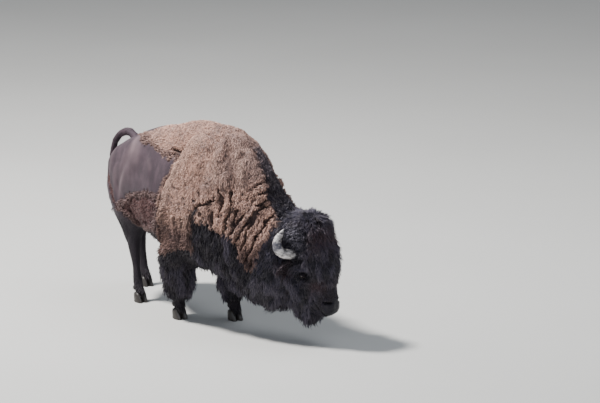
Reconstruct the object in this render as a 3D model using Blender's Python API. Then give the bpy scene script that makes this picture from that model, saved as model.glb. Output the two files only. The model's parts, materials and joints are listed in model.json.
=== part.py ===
"""A life-size still model of a grazing American bison bull.

The bull walks slowly with its head down and turned to its left. The model is in
metres: +X runs towards the head, +Y to the animal's left, +Z up, and Z = 0 is the
floor under the hooves. The flesh and its coat are lofted, fused into one body and
parted with thin cuts into named pieces. Horns, eyes, ears, hooves and dewclaws are
pieces of their own, each seated in a socket.
"""

import math

import bmesh
import bpy
import numpy as np
from mathutils import Matrix, Vector

# Driving sizes
HUMP_HEIGHT = 1.78  # floor to the top of the hump, coat included
GAP = 0.0003  # between two pieces that meet
ORIGIN_SHIFT = Vector((0.2461, -0.1014, 0.0))  # puts the middle of the box over the origin

# Resolution of the fused body
VOXEL = 0.014
FLESH_TRIANGLES = 2200
RING_POINTS = 32
HOOF_POINTS = 12
RINGS_PER_SPAN = 5

COLOURS = {
    "wool": ((0.29, 0.20, 0.15, 1.0), 0.95),
    "dark_hair": ((0.022, 0.017, 0.016, 1.0), 0.85),
    "short_hair": ((0.085, 0.066, 0.06, 1.0), 0.7),
    "horn": ((0.50, 0.47, 0.42, 1.0), 0.5),
    "hoof": ((0.02, 0.018, 0.016, 1.0), 0.5),
    "eye": ((0.012, 0.008, 0.006, 1.0), 0.1),
}


# Shapes ---------------------------------------------------------------------------


def material(slot):
    """The Principled material of a slot, made once."""
    found = bpy.data.materials.get(slot)
    if found:
        return found
    colour, roughness = COLOURS[slot]
    made = bpy.data.materials.new(slot)
    made.use_nodes = True
    shader = made.node_tree.nodes["Principled BSDF"]
    shader.inputs["Base Color"].default_value = colour
    shader.inputs["Roughness"].default_value = roughness
    shader.inputs["Metallic"].default_value = 0.0
    made.diffuse_color = colour
    return made


def through(rows, steps):
    """Rows of numbers on a smooth cubic through the given rows, whose first three are a place."""
    rows = np.array(rows, float)
    spans = np.linalg.norm(np.diff(rows[:, :3], axis=0), axis=1)
    at = np.concatenate([[0.0], np.cumsum(spans)])
    slopes = np.gradient(rows, at, axis=0)
    made = []
    for i, span in enumerate(spans):
        for t in np.arange(steps) / steps:
            a, b = rows[i], rows[i + 1]
            ta, tb = slopes[i] * span, slopes[i + 1] * span
            made.append(
                (2 * t**3 - 3 * t**2 + 1) * a
                + (t**3 - 2 * t**2 + t) * ta
                + (3 * t**2 - 2 * t**3) * b
                + (t**3 - t**2) * tb
            )
    made.append(rows[-1])
    return np.array(made)


def half_power(value, power):
    """One coordinate of a superellipse, from the sine or cosine of its angle."""
    return math.copysign(abs(value) ** (2.0 / power), value)


def close_rings(shape, rings):
    """Skins a row of equal rings of points and caps both ends, facing outwards."""
    count = len(rings[0])
    for one, two in zip(rings, rings[1:]):
        for k in range(count):
            n = (k + 1) % count
            shape.faces.new((one[k], one[n], two[n], two[k]))
    shape.faces.new(rings[0][::-1])
    shape.faces.new(rings[-1])
    bmesh.ops.recalc_face_normals(shape, faces=shape.faces)


def loft(rows, steps=RINGS_PER_SPAN, count=RING_POINTS):
    """A closed mesh through stations (top x y z, bottom x y z, yaw, half, level, upper, lower).

    A ring runs through its top and bottom points, which on a leg are its front and
    back. It is widest at level, a share of the way from bottom to top, where it
    reaches half to each side, square to the heading yaw in degrees. upper and lower
    are the superellipse powers of its two halves: 2 is round, less is peaked.
    """
    shape = bmesh.new()
    rings = []
    for row in through(rows, steps):
        top, bottom = Vector(row[0:3]), Vector(row[3:6])
        yaw, half, level, upper, lower = row[6:11]
        up = (top - bottom).normalized()
        left = Vector((-math.sin(math.radians(yaw)), math.cos(math.radians(yaw)), 0.0))
        left = (left - up * left.dot(up)).normalized()
        middle = bottom.lerp(top, level)
        ring = []
        for k in range(count):
            c, s = math.cos(math.tau * k / count), math.sin(math.tau * k / count)
            power, reach = (upper, (top - middle).length) if s >= 0 else (lower, (bottom - middle).length)
            out = left * half_power(c, power) * half
            ring.append(shape.verts.new(middle + out + up * half_power(s, power) * reach))
        rings.append(ring)
    close_rings(shape, rings)
    return shape


def ellipsoid(place, radii, turn=None, rings=16, segments=24):
    """A closed ellipsoid with its radii along the columns of turn."""
    shape = bmesh.new()
    bmesh.ops.create_uvsphere(shape, u_segments=segments, v_segments=rings, radius=1.0)
    matrix = (turn or Matrix.Identity(3)) @ Matrix.Diagonal(radii)
    bmesh.ops.transform(shape, verts=shape.verts, matrix=Matrix.Translation(place) @ matrix.to_4x4())
    return shape


def disc(place, normal, radii):
    """A plate GAP thick that parts a body across normal; radii are across and up the slope."""
    shape = bmesh.new()
    bmesh.ops.create_circle(shape, cap_ends=True, segments=20, radius=1.0)
    made = bmesh.ops.extrude_face_region(shape, geom=list(shape.faces))
    top = [v for v in made["geom"] if isinstance(v, bmesh.types.BMVert)]
    bmesh.ops.translate(shape, verts=top, vec=(0.0, 0.0, GAP))
    bmesh.ops.scale(shape, verts=shape.verts, vec=(radii[0], radii[1], 1.0))
    normal = Vector(normal).normalized()
    across = Vector((0.0, 0.0, 1.0)).cross(normal)
    if across.length < 0.1:
        across = Vector((0.0, 1.0, 0.0))
    across.normalize()
    frame = Matrix((across, normal.cross(across), normal)).transposed()
    bmesh.ops.transform(shape, verts=shape.verts, matrix=Matrix.Translation(place) @ frame.to_4x4())
    bmesh.ops.recalc_face_normals(shape, faces=shape.faces)
    return shape


def inflated(shape, amount):
    """A copy of a closed shape, pushed outwards by amount."""
    copy = shape.copy()
    copy.normal_update()
    moves = [v.normal * amount * v.calc_shell_factor() for v in copy.verts]
    for v, move in zip(copy.verts, moves):
        v.co += move
    return copy


def mesh_object(name, shapes, slot=None):
    """One object holding the given closed shapes, with a slot's material and smooth faces."""
    whole = bmesh.new()
    for shape in shapes:
        piece = bpy.data.meshes.new("piece")
        shape.to_mesh(piece)
        whole.from_mesh(piece)
        bpy.data.meshes.remove(piece)
    mesh = bpy.data.meshes.new(name)
    whole.to_mesh(mesh)
    whole.free()
    made = bpy.data.objects.new(name, mesh)
    bpy.context.scene.collection.objects.link(made)
    if slot:
        mesh.materials.append(material(slot))
    mesh.polygons.foreach_set("use_smooth", [True] * len(mesh.polygons))
    return made


# Trunk and neck -------------------------------------------------------------------


def trunk():
    """The barrel, hump and rump, by top and bottom heights along the spine."""
    # x, top, bottom, half width, level of the widest place, upper power, lower power
    stations = (
        (-1.58, 1.22, 0.94, 0.13, 0.5, 2.0, 2.0),
        (-1.52, 1.31, 0.85, 0.24, 0.5, 2.2, 2.2),
        (-1.38, 1.395, 0.77, 0.32, 0.5, 2.5, 2.2),
        (-1.14, 1.50, 0.72, 0.35, 0.5, 2.5, 2.2),
        (-0.87, 1.60, 0.615, 0.36, 0.46, 2.2, 2.2),
        (-0.60, 1.665, 0.545, 0.395, 0.44, 1.9, 2.2),
        (-0.34, 1.735, 0.50, 0.41, 0.42, 1.75, 2.2),
        (-0.12, 1.77, 0.47, 0.41, 0.42, 1.65, 2.2),
        (0.08, HUMP_HEIGHT, 0.46, 0.39, 0.42, 1.6, 2.1),
        (0.24, 1.74, 0.48, 0.33, 0.42, 1.6, 2.0),
        (0.36, 1.55, 0.56, 0.20, 0.42, 1.8, 2.0),
    )
    return loft([
        (x, 0, top, x, 0, bottom, 0, half, level, upper, lower)
        for x, top, bottom, half, level, upper, lower in stations
    ])


def neck():
    """From inside the shoulders down to the back of the head, bending left."""
    # crest, throat, yaw, half width, level, powers
    return loft((
        (0.00, 0.00, 1.765, -0.02, 0.00, 0.48, 0, 0.36, 0.42, 1.6, 2.1),
        (0.26, 0.03, 1.775, 0.16, 0.02, 0.44, 6, 0.36, 0.42, 1.6, 2.1),
        (0.48, 0.11, 1.675, 0.32, 0.06, 0.38, 14, 0.34, 0.42, 1.6, 2.0),
        (0.62, 0.18, 1.47, 0.47, 0.11, 0.31, 18, 0.32, 0.44, 1.7, 2.0),
        (0.73, 0.24, 1.265, 0.60, 0.17, 0.25, 21, 0.30, 0.45, 1.8, 2.0),
        (0.83, 0.29, 1.12, 0.73, 0.23, 0.24, 21, 0.27, 0.5, 2.0, 2.0),
        (0.92, 0.33, 0.98, 0.86, 0.29, 0.36, 21, 0.18, 0.5, 2.0, 2.0),
    ))


# Head -----------------------------------------------------------------------------

HEAD_YAW = 21.0  # the face turned to the animal's left, degrees
HEAD_TILT = 30.0  # the muzzle forward of straight down, degrees
POLL = Vector((0.91, 0.35, 0.805))
YAW_SIN, YAW_COS = math.sin(math.radians(HEAD_YAW)), math.cos(math.radians(HEAD_YAW))
TILT_SIN, TILT_COS = math.sin(math.radians(HEAD_TILT)), math.cos(math.radians(HEAD_TILT))
FACE_LEFT = Vector((-YAW_SIN, YAW_COS, 0.0))
FACE_DOWN = Vector((YAW_COS * TILT_SIN, YAW_SIN * TILT_SIN, -TILT_COS))
FACE_FRONT = FACE_LEFT.cross(-FACE_DOWN)
FACE_TURN = Matrix((FACE_FRONT, FACE_LEFT, -FACE_DOWN)).transposed()


def on_head(down, front=0.0, left=0.0):
    """A place on the head: down from the poll, towards the face, and to the left."""
    return POLL + FACE_DOWN * down + FACE_FRONT * front + FACE_LEFT * left


def skull():
    """Cranium, cheeks and muzzle along the face."""
    # down from the poll, front, back, half width, level of the widest place, powers
    stations = (
        (-0.06, 0.06, 0.08, 0.08, 0.5, 2.2, 2.0),
        (0.02, 0.12, 0.17, 0.16, 0.5, 2.4, 2.0),
        (0.13, 0.14, 0.22, 0.185, 0.55, 2.4, 2.0),
        (0.24, 0.14, 0.23, 0.18, 0.6, 2.4, 2.0),
        (0.33, 0.15, 0.22, 0.155, 0.6, 2.3, 2.0),
        (0.41, 0.137, 0.185, 0.132, 0.55, 2.2, 2.0),
        (0.48, 0.113, 0.14, 0.112, 0.5, 2.3, 2.2),
        (0.55, 0.095, 0.11, 0.102, 0.5, 2.4, 2.4),
        (0.60, 0.072, 0.09, 0.087, 0.5, 2.4, 2.4),
        (0.625, 0.028, 0.05, 0.052, 0.5, 2.2, 2.2),
    )
    return loft([
        (*on_head(down, front), *on_head(down, -back), HEAD_YAW, half, level, upper, lower)
        for down, front, back, half, level, upper, lower in stations
    ], steps=4)


def head_hair():
    """The bonnet over the forehead, the cheek hair and the beard."""
    return [
        ellipsoid(on_head(-0.135, 0.05), (0.20, 0.245, 0.19), FACE_TURN),
        ellipsoid(on_head(-0.07, 0.14), (0.20, 0.24, 0.23), FACE_TURN),
        ellipsoid(on_head(0.04, 0.14), (0.17, 0.215, 0.24), FACE_TURN),
        ellipsoid(on_head(0.15, 0.115), (0.145, 0.185, 0.26), FACE_TURN),
        ellipsoid(on_head(0.05, 0.045), (0.11, 0.20, 0.11), FACE_TURN),
        ellipsoid(on_head(0.20, -0.16), (0.20, 0.22, 0.31), FACE_TURN),
        ellipsoid(on_head(0.41, -0.19), (0.16, 0.12, 0.21), FACE_TURN),
    ]


# Legs -----------------------------------------------------------------------------

FORE_RIGHT = Vector((-0.27, -0.20, 0.0))  # middle of each sole
FORE_LEFT = Vector((0.02, 0.19, 0.0))
HIND_RIGHT = Vector((-0.98, -0.21, 0.0))
HIND_LEFT = Vector((-1.50, 0.125, 0.0))
FORE_HOOF = (0.125, 0.118, 0.072)  # length, width of both claws, height
HIND_HOOF = (0.120, 0.106, 0.070)


def limb(stations):
    """A leg from stations (x, y, z, half width, front, back), each an even oval."""
    return loft([
        (x + front, y, z, x - back, y, z, 0, half, back / (front + back), 2.0, 2.0)
        for x, y, z, half, front, back in stations
    ])


def foreleg(hoof, side):
    """Upper arm, the trousers of long hair, cannon and pastern down to one fore hoof."""
    x, y = hoof.x, hoof.y
    elbow = -0.10 + 0.5 * (x + 0.10)
    return limb((
        (0.00, side * 0.18, 1.10, 0.16, 0.24, 0.24),
        (-0.06, side * 0.215, 0.85, 0.16, 0.21, 0.24),
        (elbow, side * 0.225, 0.66, 0.165, 0.18, 0.235),
        (x - 0.01, y + side * 0.02, 0.48, 0.17, 0.175, 0.225),
        (x - 0.02, y, 0.33, 0.155, 0.155, 0.20),
        (x - 0.02, y, 0.22, 0.115, 0.115, 0.14),
        (x - 0.03, y, 0.155, 0.062, 0.062, 0.062),
        (x - 0.02, y, 0.11, 0.055, 0.055, 0.060),
        (x - 0.005, y, 0.062, 0.055, 0.058, 0.058),
    ))


def hindleg(hoof, side):
    """Haunch, gaskin, hock, cannon and pastern down to one hind hoof."""
    x, y = hoof.x, hoof.y
    hip = -1.24
    swing = x + 1.20  # how far the foot is forward of its standing place
    return limb((
        (hip, side * 0.16, 1.20, 0.16, 0.22, 0.26),
        (hip + 0.08 * swing, side * 0.19, 0.98, 0.165, 0.28, 0.30),
        (hip + 0.02 + 0.30 * swing, side * 0.205, 0.78, 0.135, 0.24, 0.25),
        (hip - 0.02 + 0.55 * swing, side * 0.20, 0.61, 0.080, 0.125, 0.145),
        (x - 0.115, y, 0.47, 0.055, 0.065, 0.076),
        (x - 0.10, y, 0.39, 0.046, 0.052, 0.056),
        (x - 0.075, y, 0.27, 0.040, 0.045, 0.046),
        (x - 0.05, y, 0.15, 0.047, 0.052, 0.054),
        (x - 0.02, y, 0.105, 0.047, 0.049, 0.051),
        (x, y, 0.062, 0.050, 0.054, 0.052),
    ))


def claw(hoof, sizes, side):
    """Half a cloven hoof: a flat sole, an upright wall, a toe sloping forward."""
    length, width, height = sizes
    half = width / 4 - 0.001
    shape = bmesh.new()
    rings = []
    # share of height, length, width, lean back, spread from the middle line
    for rise, long, wide, lean, spread in (
        (0.0, 0.94, 0.92, 0.00, 0.0),
        (0.05, 1.00, 1.00, 0.00, 0.0),
        (0.45, 0.90, 0.98, 0.06, 0.0),
        (0.85, 0.76, 0.90, 0.13, 0.10),
        (1.15, 0.60, 0.62, 0.16, 0.22),
        (1.25, 0.30, 0.30, 0.17, 0.24),
    ):
        ring = []
        for k in range(HOOF_POINTS):
            c, s = math.cos(math.tau * k / HOOF_POINTS), math.sin(math.tau * k / HOOF_POINTS)
            toe = 1.7 if c > 0 else 2.6
            at = hoof + Vector((
                half_power(c, toe) * long * length / 2 - lean * length,
                side * half * (1.08 + spread) + half_power(s, 2.3) * wide * half,
                rise * height,
            ))
            ring.append(shape.verts.new(at))
        rings.append(ring)
    close_rings(shape, rings)
    return shape


def dewclaw(hoof, side):
    """One of the two small claws behind the pastern."""
    place = hoof + Vector((-0.075, side * 0.024, 0.118))
    turn = Matrix.Rotation(math.radians(-35), 3, "Y")
    return ellipsoid(place, (0.020, 0.014, 0.022), turn, 6, 8)


def tube(points, count=16, steps=RINGS_PER_SPAN):
    """A round tapering tube through points (x, y, z, radius)."""
    rows = through(points, steps)
    tangents = np.gradient(rows[:, :3], axis=0)
    shape = bmesh.new()
    side = Vector((0.0, 0.0, 1.0)).cross(Vector(tangents[0]))
    if side.length < 1e-6:
        side = Vector((0.0, 1.0, 0.0))
    rings = []
    for (x, y, z, radius), tangent in zip(rows, tangents):
        along = Vector(tangent).normalized()
        side = (side - along * side.dot(along)).normalized()
        other = along.cross(side)
        turns = [math.tau * k / count for k in range(count)]
        rings.append([
            shape.verts.new(Vector((x, y, z)) + (side * math.cos(a) + other * math.sin(a)) * radius)
            for a in turns
        ])
    close_rings(shape, rings)
    return shape


def tail():
    """Raised at the root, arched over and hanging behind, with a switch of hair."""
    return tube((
        (-1.34, 0.00, 1.32, 0.060),
        (-1.44, -0.01, 1.40, 0.045),
        (-1.53, -0.03, 1.433, 0.035),
        (-1.59, -0.065, 1.415, 0.031),
        (-1.64, -0.10, 1.338, 0.029),
        (-1.68, -0.112, 1.23, 0.028),
        (-1.705, -0.115, 1.10, 0.030),
        (-1.713, -0.115, 0.99, 0.036),
        (-1.713, -0.11, 0.88, 0.038),
        (-1.70, -0.105, 0.785, 0.030),
        (-1.69, -0.10, 0.705, 0.014),
    ))


# Pieces on the head ---------------------------------------------------------------

HORN_LINE = (  # down, front, left of the poll on the left horn, and radius
    (0.034, 0.000, 0.10, 0.045),
    (0.030, -0.010, 0.155, 0.044),
    (0.012, -0.030, 0.205, 0.043),
    (-0.020, -0.045, 0.245, 0.042),
    (-0.062, -0.042, 0.265, 0.041),
    (-0.110, -0.014, 0.268, 0.036),
    (-0.150, 0.030, 0.250, 0.025),
    (-0.182, 0.074, 0.227, 0.004),
)
EYE = (0.233, 0.006, 0.168)  # down, front, left of the poll on the left eye
EYE_RADIUS = 0.020
EAR_ROOT = (0.095, -0.095, 0.165)  # down, front, left of the poll on the left ear


def horn(side):
    """One horn, out of the side of the skull, back, then up and in to its point."""
    return tube([
        (*on_head(down, front, side * left), radius)
        for down, front, left, radius in HORN_LINE
    ], count=10, steps=2)


def eye(side):
    """One eyeball in the side of the face."""
    down, front, left = EYE
    return ellipsoid(on_head(down, front, side * left), (EYE_RADIUS,) * 3, FACE_TURN, 8, 12)


def ear(side):
    """One leaf of an ear, out and back among the cheek hair."""
    down, front, left = EAR_ROOT
    along = (FACE_LEFT * side * 0.80 - FACE_FRONT * 0.50 + FACE_DOWN * 0.33).normalized()
    wide = (FACE_DOWN - along * FACE_DOWN.dot(along)).normalized()
    turn = Matrix((along, wide, along.cross(wide))).transposed()
    return ellipsoid(on_head(down, front, side * left) + along * 0.05, (0.095, 0.042, 0.016), turn, 8, 12)


# The whole ------------------------------------------------------------------------


def flesh_shapes():
    """Everything that is fused into the body."""
    sheath = ellipsoid(Vector((-0.80, 0.0, 0.60)), (0.10, 0.045, 0.10))
    return [
        trunk(), neck(), skull(), *head_hair(), tail(), sheath,
        foreleg(FORE_RIGHT, -1), foreleg(FORE_LEFT, 1),
        hindleg(HIND_RIGHT, -1), hindleg(HIND_LEFT, 1),
    ]


def hard_pieces():
    """Name, shape and slot of every piece that sits in a socket of the body."""
    made = []
    for side, word in ((-1, "right"), (1, "left")):
        made.append((f"horn_{word}", horn(side), "horn"))
        made.append((f"eye_{word}", eye(side), "eye"))
        made.append((f"ear_{word}", ear(side), "dark_hair"))
    for leg, hoof, sizes in (
        ("fore_right", FORE_RIGHT, FORE_HOOF), ("fore_left", FORE_LEFT, FORE_HOOF),
        ("hind_right", HIND_RIGHT, HIND_HOOF), ("hind_left", HIND_LEFT, HIND_HOOF),
    ):
        for side, word in ((-1, "right"), (1, "left")):
            made.append((f"hoof_{leg}_claw_{word}", claw(hoof, sizes, side), "hoof"))
            made.append((f"dewclaw_{leg}_{word}", dewclaw(hoof, side), "hoof"))
    for _, shape, _ in made:
        bmesh.ops.triangulate(shape, faces=shape.faces)
    return made


# Name, a place inside the part, and its slot, for every part of the fused body
FLESH_PARTS = (
    ("head", on_head(0.15, 0.0), "dark_hair"),
    ("neck", Vector((0.55, 0.16, 0.95)), "dark_hair"),
    ("trunk", Vector((-0.35, 0.0, 1.10)), "wool"),
    ("hindquarters", Vector((-1.25, 0.0, 1.05)), "short_hair"),
    ("tail_root", Vector((-1.57, -0.055, 1.42)), "short_hair"),
    ("tail_switch", Vector((-1.71, -0.115, 1.05)), "dark_hair"),
    ("foreleg_right_upper", FORE_RIGHT + Vector((-0.02, 0.0, 0.31)), "dark_hair"),
    ("foreleg_left_upper", FORE_LEFT + Vector((-0.02, 0.0, 0.31)), "dark_hair"),
    ("foreleg_right_lower", FORE_RIGHT + Vector((-0.02, 0.0, 0.12)), "dark_hair"),
    ("foreleg_left_lower", FORE_LEFT + Vector((-0.02, 0.0, 0.12)), "dark_hair"),
    ("hindleg_right_upper", HIND_RIGHT + Vector((-0.12, 0.0, 0.55)), "short_hair"),
    ("hindleg_left_upper", HIND_LEFT + Vector((-0.05, 0.0, 0.55)), "short_hair"),
    ("hindleg_right_lower", HIND_RIGHT + Vector((-0.07, 0.0, 0.25)), "short_hair"),
    ("hindleg_left_lower", HIND_LEFT + Vector((-0.07, 0.0, 0.25)), "short_hair"),
)


def parting_discs():
    """The thin cuts that divide the body into its named parts."""
    forward = Vector((1.0, 0.0, 0.0))
    down = Vector((0.0, 0.0, 1.0))
    discs = [
        disc(Vector((0.70, 0.23, 0.76)), (0.93, 0.35, 0.0), (0.46, 0.69)),
        disc(Vector((0.30, 0.04, 1.12)), (0.99, 0.10, -0.10), (0.50, 0.73)),
        disc(Vector((-0.86, 0.0, 1.12)), forward, (0.55, 0.60)),
        disc(Vector((-1.46, -0.015, 1.41)), (-0.85, -0.1, 0.4), (0.08, 0.08)),
        disc(Vector((-1.667, -0.108, 1.27)), (-0.34, -0.1, -0.93), (0.08, 0.08)),
    ]
    for hoof in (FORE_RIGHT, FORE_LEFT):
        discs.append(disc(hoof + Vector((-0.035, 0.0, 0.435)), down, (0.235, 0.235)))
        discs.append(disc(hoof + Vector((-0.03, 0.0, 0.185)), down, (0.15, 0.15)))
    for hoof, lean, side in ((HIND_RIGHT, -0.17, -1), (HIND_LEFT, 0.05, 1)):
        discs.append(disc(Vector((hoof.x + lean, side * 0.205, 0.66)), down, (0.165, 0.25)))
        discs.append(disc(hoof + Vector((-0.09, 0.0, 0.40)), down, (0.12, 0.12)))
    return discs


def evaluated(thing):
    """The mesh of an object after its modifiers."""
    graph = bpy.context.evaluated_depsgraph_get()
    return bpy.data.meshes.new_from_object(thing.evaluated_get(graph))


def fused_body():
    """The trunk, neck, head, legs and tail as one smooth closed mesh."""
    body = mesh_object("body", flesh_shapes())
    fuse = body.modifiers.new("fuse", "REMESH")
    fuse.mode = "VOXEL"
    fuse.voxel_size = VOXEL
    soften = body.modifiers.new("soften", "SMOOTH")
    soften.factor = 0.5
    soften.iterations = 12
    bpy.context.view_layer.update()
    fused = evaluated(body)
    body.modifiers.clear()
    body.data = fused
    thin = body.modifiers.new("thin", "DECIMATE")
    thin.ratio = FLESH_TRIANGLES / (2.0 * len(fused.polygons))
    return body


def part_body(body, cutters):
    """Takes the cutters out of the body and makes an object of every part that comes loose."""
    for index, cutter in enumerate(cutters):
        cut = body.modifiers.new(f"cut_{index}", "BOOLEAN")
        cut.operation = "DIFFERENCE"
        cut.solver = "EXACT"
        cut.object = cutter
    bpy.context.view_layer.update()
    whole = bmesh.new()
    whole.from_mesh(evaluated(body))
    left = set(whole.verts)
    while left:
        first = min(left, key=lambda v: v.index)
        group, edge = {first}, [first]
        while edge:
            for link in edge.pop().link_edges:
                for v in link.verts:
                    if v not in group:
                        group.add(v)
                        edge.append(v)
        left -= group
        middle = sum((v.co for v in group), Vector()) / len(group)
        name, _, slot = min(FLESH_PARTS, key=lambda row: (row[1] - middle).length)
        shape = whole.copy()
        keep = {v.index for v in group}
        bmesh.ops.delete(shape, geom=[v for v in shape.verts if v.index not in keep], context="VERTS")
        mesh_object(name, [shape], slot)
        shape.free()


def main():
    """Builds the body, parts it, and seats the hard pieces."""
    for thing in list(bpy.data.objects):
        bpy.data.objects.remove(thing)
    body = fused_body()
    pieces = hard_pieces()
    cutters = [
        mesh_object("partings", parting_discs()),
        mesh_object("sockets", [inflated(shape, GAP) for _, shape, _ in pieces]),
    ]
    part_body(body, cutters)
    for thing in (body, *cutters):
        bpy.data.objects.remove(thing)
    for name, shape, slot in pieces:
        mesh_object(name, [shape], slot)
    for made in bpy.context.scene.collection.objects:
        made.data.transform(Matrix.Translation(ORIGIN_SHIFT))


main()
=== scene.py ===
"""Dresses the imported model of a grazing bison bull: skin, coat, horns, eyes, ears and hooves.

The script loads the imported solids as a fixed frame. One skin takes the place of the
solids of flesh and lies inside them by the depth of the coat. Locks of hair grow from
it along the lie of the coat, and finer eyes, lids, ears, horns and hooves stand where
their solids are. Lengths are in metres, +X runs towards the head, +Y to the animal's
left and +Z up from the floor.
"""

from __future__ import annotations

import json
import logging
import math
from dataclasses import dataclass, field
from enum import Enum
from typing import Callable, Sequence

import bmesh
import bpy
import numpy as np
from mathutils import Matrix, Vector

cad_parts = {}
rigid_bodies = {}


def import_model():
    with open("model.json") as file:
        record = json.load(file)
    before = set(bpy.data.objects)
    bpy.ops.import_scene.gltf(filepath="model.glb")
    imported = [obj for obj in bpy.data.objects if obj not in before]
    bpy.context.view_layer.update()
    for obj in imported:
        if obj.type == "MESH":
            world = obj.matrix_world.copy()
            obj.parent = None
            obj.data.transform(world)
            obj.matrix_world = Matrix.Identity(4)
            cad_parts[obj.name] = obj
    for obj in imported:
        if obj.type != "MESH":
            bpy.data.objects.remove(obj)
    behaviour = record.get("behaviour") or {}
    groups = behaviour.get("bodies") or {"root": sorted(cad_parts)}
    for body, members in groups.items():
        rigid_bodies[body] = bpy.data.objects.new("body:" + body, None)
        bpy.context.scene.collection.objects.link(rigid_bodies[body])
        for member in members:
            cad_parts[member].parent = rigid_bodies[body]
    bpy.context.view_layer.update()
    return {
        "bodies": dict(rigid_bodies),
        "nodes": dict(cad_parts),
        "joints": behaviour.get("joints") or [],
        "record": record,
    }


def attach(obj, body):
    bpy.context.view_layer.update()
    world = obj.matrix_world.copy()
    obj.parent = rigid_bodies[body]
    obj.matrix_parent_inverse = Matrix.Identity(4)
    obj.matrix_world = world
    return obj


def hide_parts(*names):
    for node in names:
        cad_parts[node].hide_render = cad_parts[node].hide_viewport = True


LOG = logging.getLogger("bison")
Array = np.ndarray
Mesh = bpy.types.Mesh
Object = bpy.types.Object
Material = bpy.types.Material
Colour = tuple[float, float, float]


# Numbers over space ---------------------------------------------------


def blend(low: float | Array, high: float | Array, value: Array) -> Array:
    """Rises smoothly from 0 where values are at low to 1 at high, which may be below low."""
    t = np.clip((value - low) / (high - low), 0.0, 1.0)
    return t * t * (3.0 - 2.0 * t)


def lattice_noise(points: Array, scale: float, seed: int) -> Array:
    """Smooth noise from -1 to 1 on a lattice of random numbers.

    Args:
        points: places, one row each.
        scale: lattice cells to a metre.
        seed: picks another lattice.

    Returns:
        One number for each place.
    """
    at = points * scale + seed * 7.31
    cell = np.floor(at).astype(np.int64)
    part = at - cell
    part = part * part * (3.0 - 2.0 * part)
    total = np.zeros(len(points))
    for corner in range(8):
        step = np.array([corner & 1, corner >> 1 & 1, corner >> 2 & 1])
        key = cell + step
        mixed = key[:, 0] * 73856093 ^ key[:, 1] * 19349663 ^ key[:, 2] * 83492791 ^ seed * 2654435
        mixed = (mixed ^ mixed >> 13) * 1274126177
        number = (mixed ^ mixed >> 16 & 0xFFFF) % 65521 / 32760.0 - 1.0
        share = np.where(step, part, 1.0 - part).prod(axis=1)
        total += number * share
    return total


def rough_noise(points: Array, scale: float, seed: int, layers: int = 3) -> Array:
    """Layers of noise from about -1 to 1, each twice as fine and half as strong as the last."""
    return sum(lattice_noise(points, scale * 2**k, seed + k) * 0.5**k for k in range(layers))


def inside(outline: Sequence[tuple[float, float]], across: Array, up: Array) -> Array:
    """How far places lie inside a closed outline; negative outside.

    Args:
        outline: corners of the outline, in order.
        across: first coordinate of the places.
        up: second coordinate of the places.

    Returns:
        Signed distance of each place to the outline.
    """
    corners = np.array(outline)
    near = np.full(len(across), np.inf)
    within = np.zeros(len(across), bool)
    for (ax, ay), (bx, by) in zip(corners, np.roll(corners, -1, axis=0)):
        ex, ey = bx - ax, by - ay
        t = np.clip(((across - ax) * ex + (up - ay) * ey) / (ex * ex + ey * ey), 0.0, 1.0)
        near = np.minimum(near, np.hypot(across - ax - t * ex, up - ay - t * ey))
        crosses = (ay > up) != (by > up)
        level = ax + (up - ay) * ex / (ey if ey else 1e-9)
        within ^= crosses & (across < level)
    return np.where(within, near, -near)


def unit(rows: Array) -> Array:
    """Rows scaled to length 1."""
    return rows / np.maximum(np.linalg.norm(rows, axis=1, keepdims=True), 1e-9)


def to_line(points: Array, line: Sequence[tuple[float, ...]]) -> tuple[Array, Array, Array]:
    """How places lie to a line of straight lengths.

    Args:
        points: places, one row each.
        line: the line's corners, with as many numbers as the places have.

    Returns:
        Distance to the line, the way the line runs there, and the share of it passed.
    """
    corners = np.array(line)
    near = np.full(len(points), np.inf)
    way, share = np.zeros_like(points), np.zeros(len(points))
    for index, (start, end) in enumerate(zip(corners, corners[1:])):
        step = end - start
        t = np.clip((points - start) @ step / (step @ step), 0.0, 1.0)
        apart = np.linalg.norm(points - start - t[:, None] * step, axis=1)
        closer = apart < near
        near[closer] = apart[closer]
        way[closer] = step / np.linalg.norm(step)
        share[closer] = (index + t[closer]) / (len(corners) - 1)
    return near, way, share


def strokes(flat: Array, forms: Sequence[tuple[tuple, float, float]]) -> Array:
    """Rounded ridges and furrows along lines in side view.

    Args:
        flat: two numbers for each place.
        forms: the line, reach to each side and height of each.

    Returns:
        The height at each place.
    """
    total = np.zeros(len(flat))
    for line, reach, height in forms:
        apart, _, share = to_line(flat, line)
        fade = 1.0 if len(line) < 3 else np.sin(math.pi * (0.08 + 0.84 * share)) ** 0.6
        total += height * np.exp(-((apart / reach) ** 2)) * fade
    return total


# The head's own directions --------------------------------------------


class Side(Enum):
    """The two sides of the animal, by the sign of the way to its left."""

    RIGHT = -1
    LEFT = 1

    @property
    def word(self) -> str:
        """The side's name in the names of pieces."""
        return self.name.lower()


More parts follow.
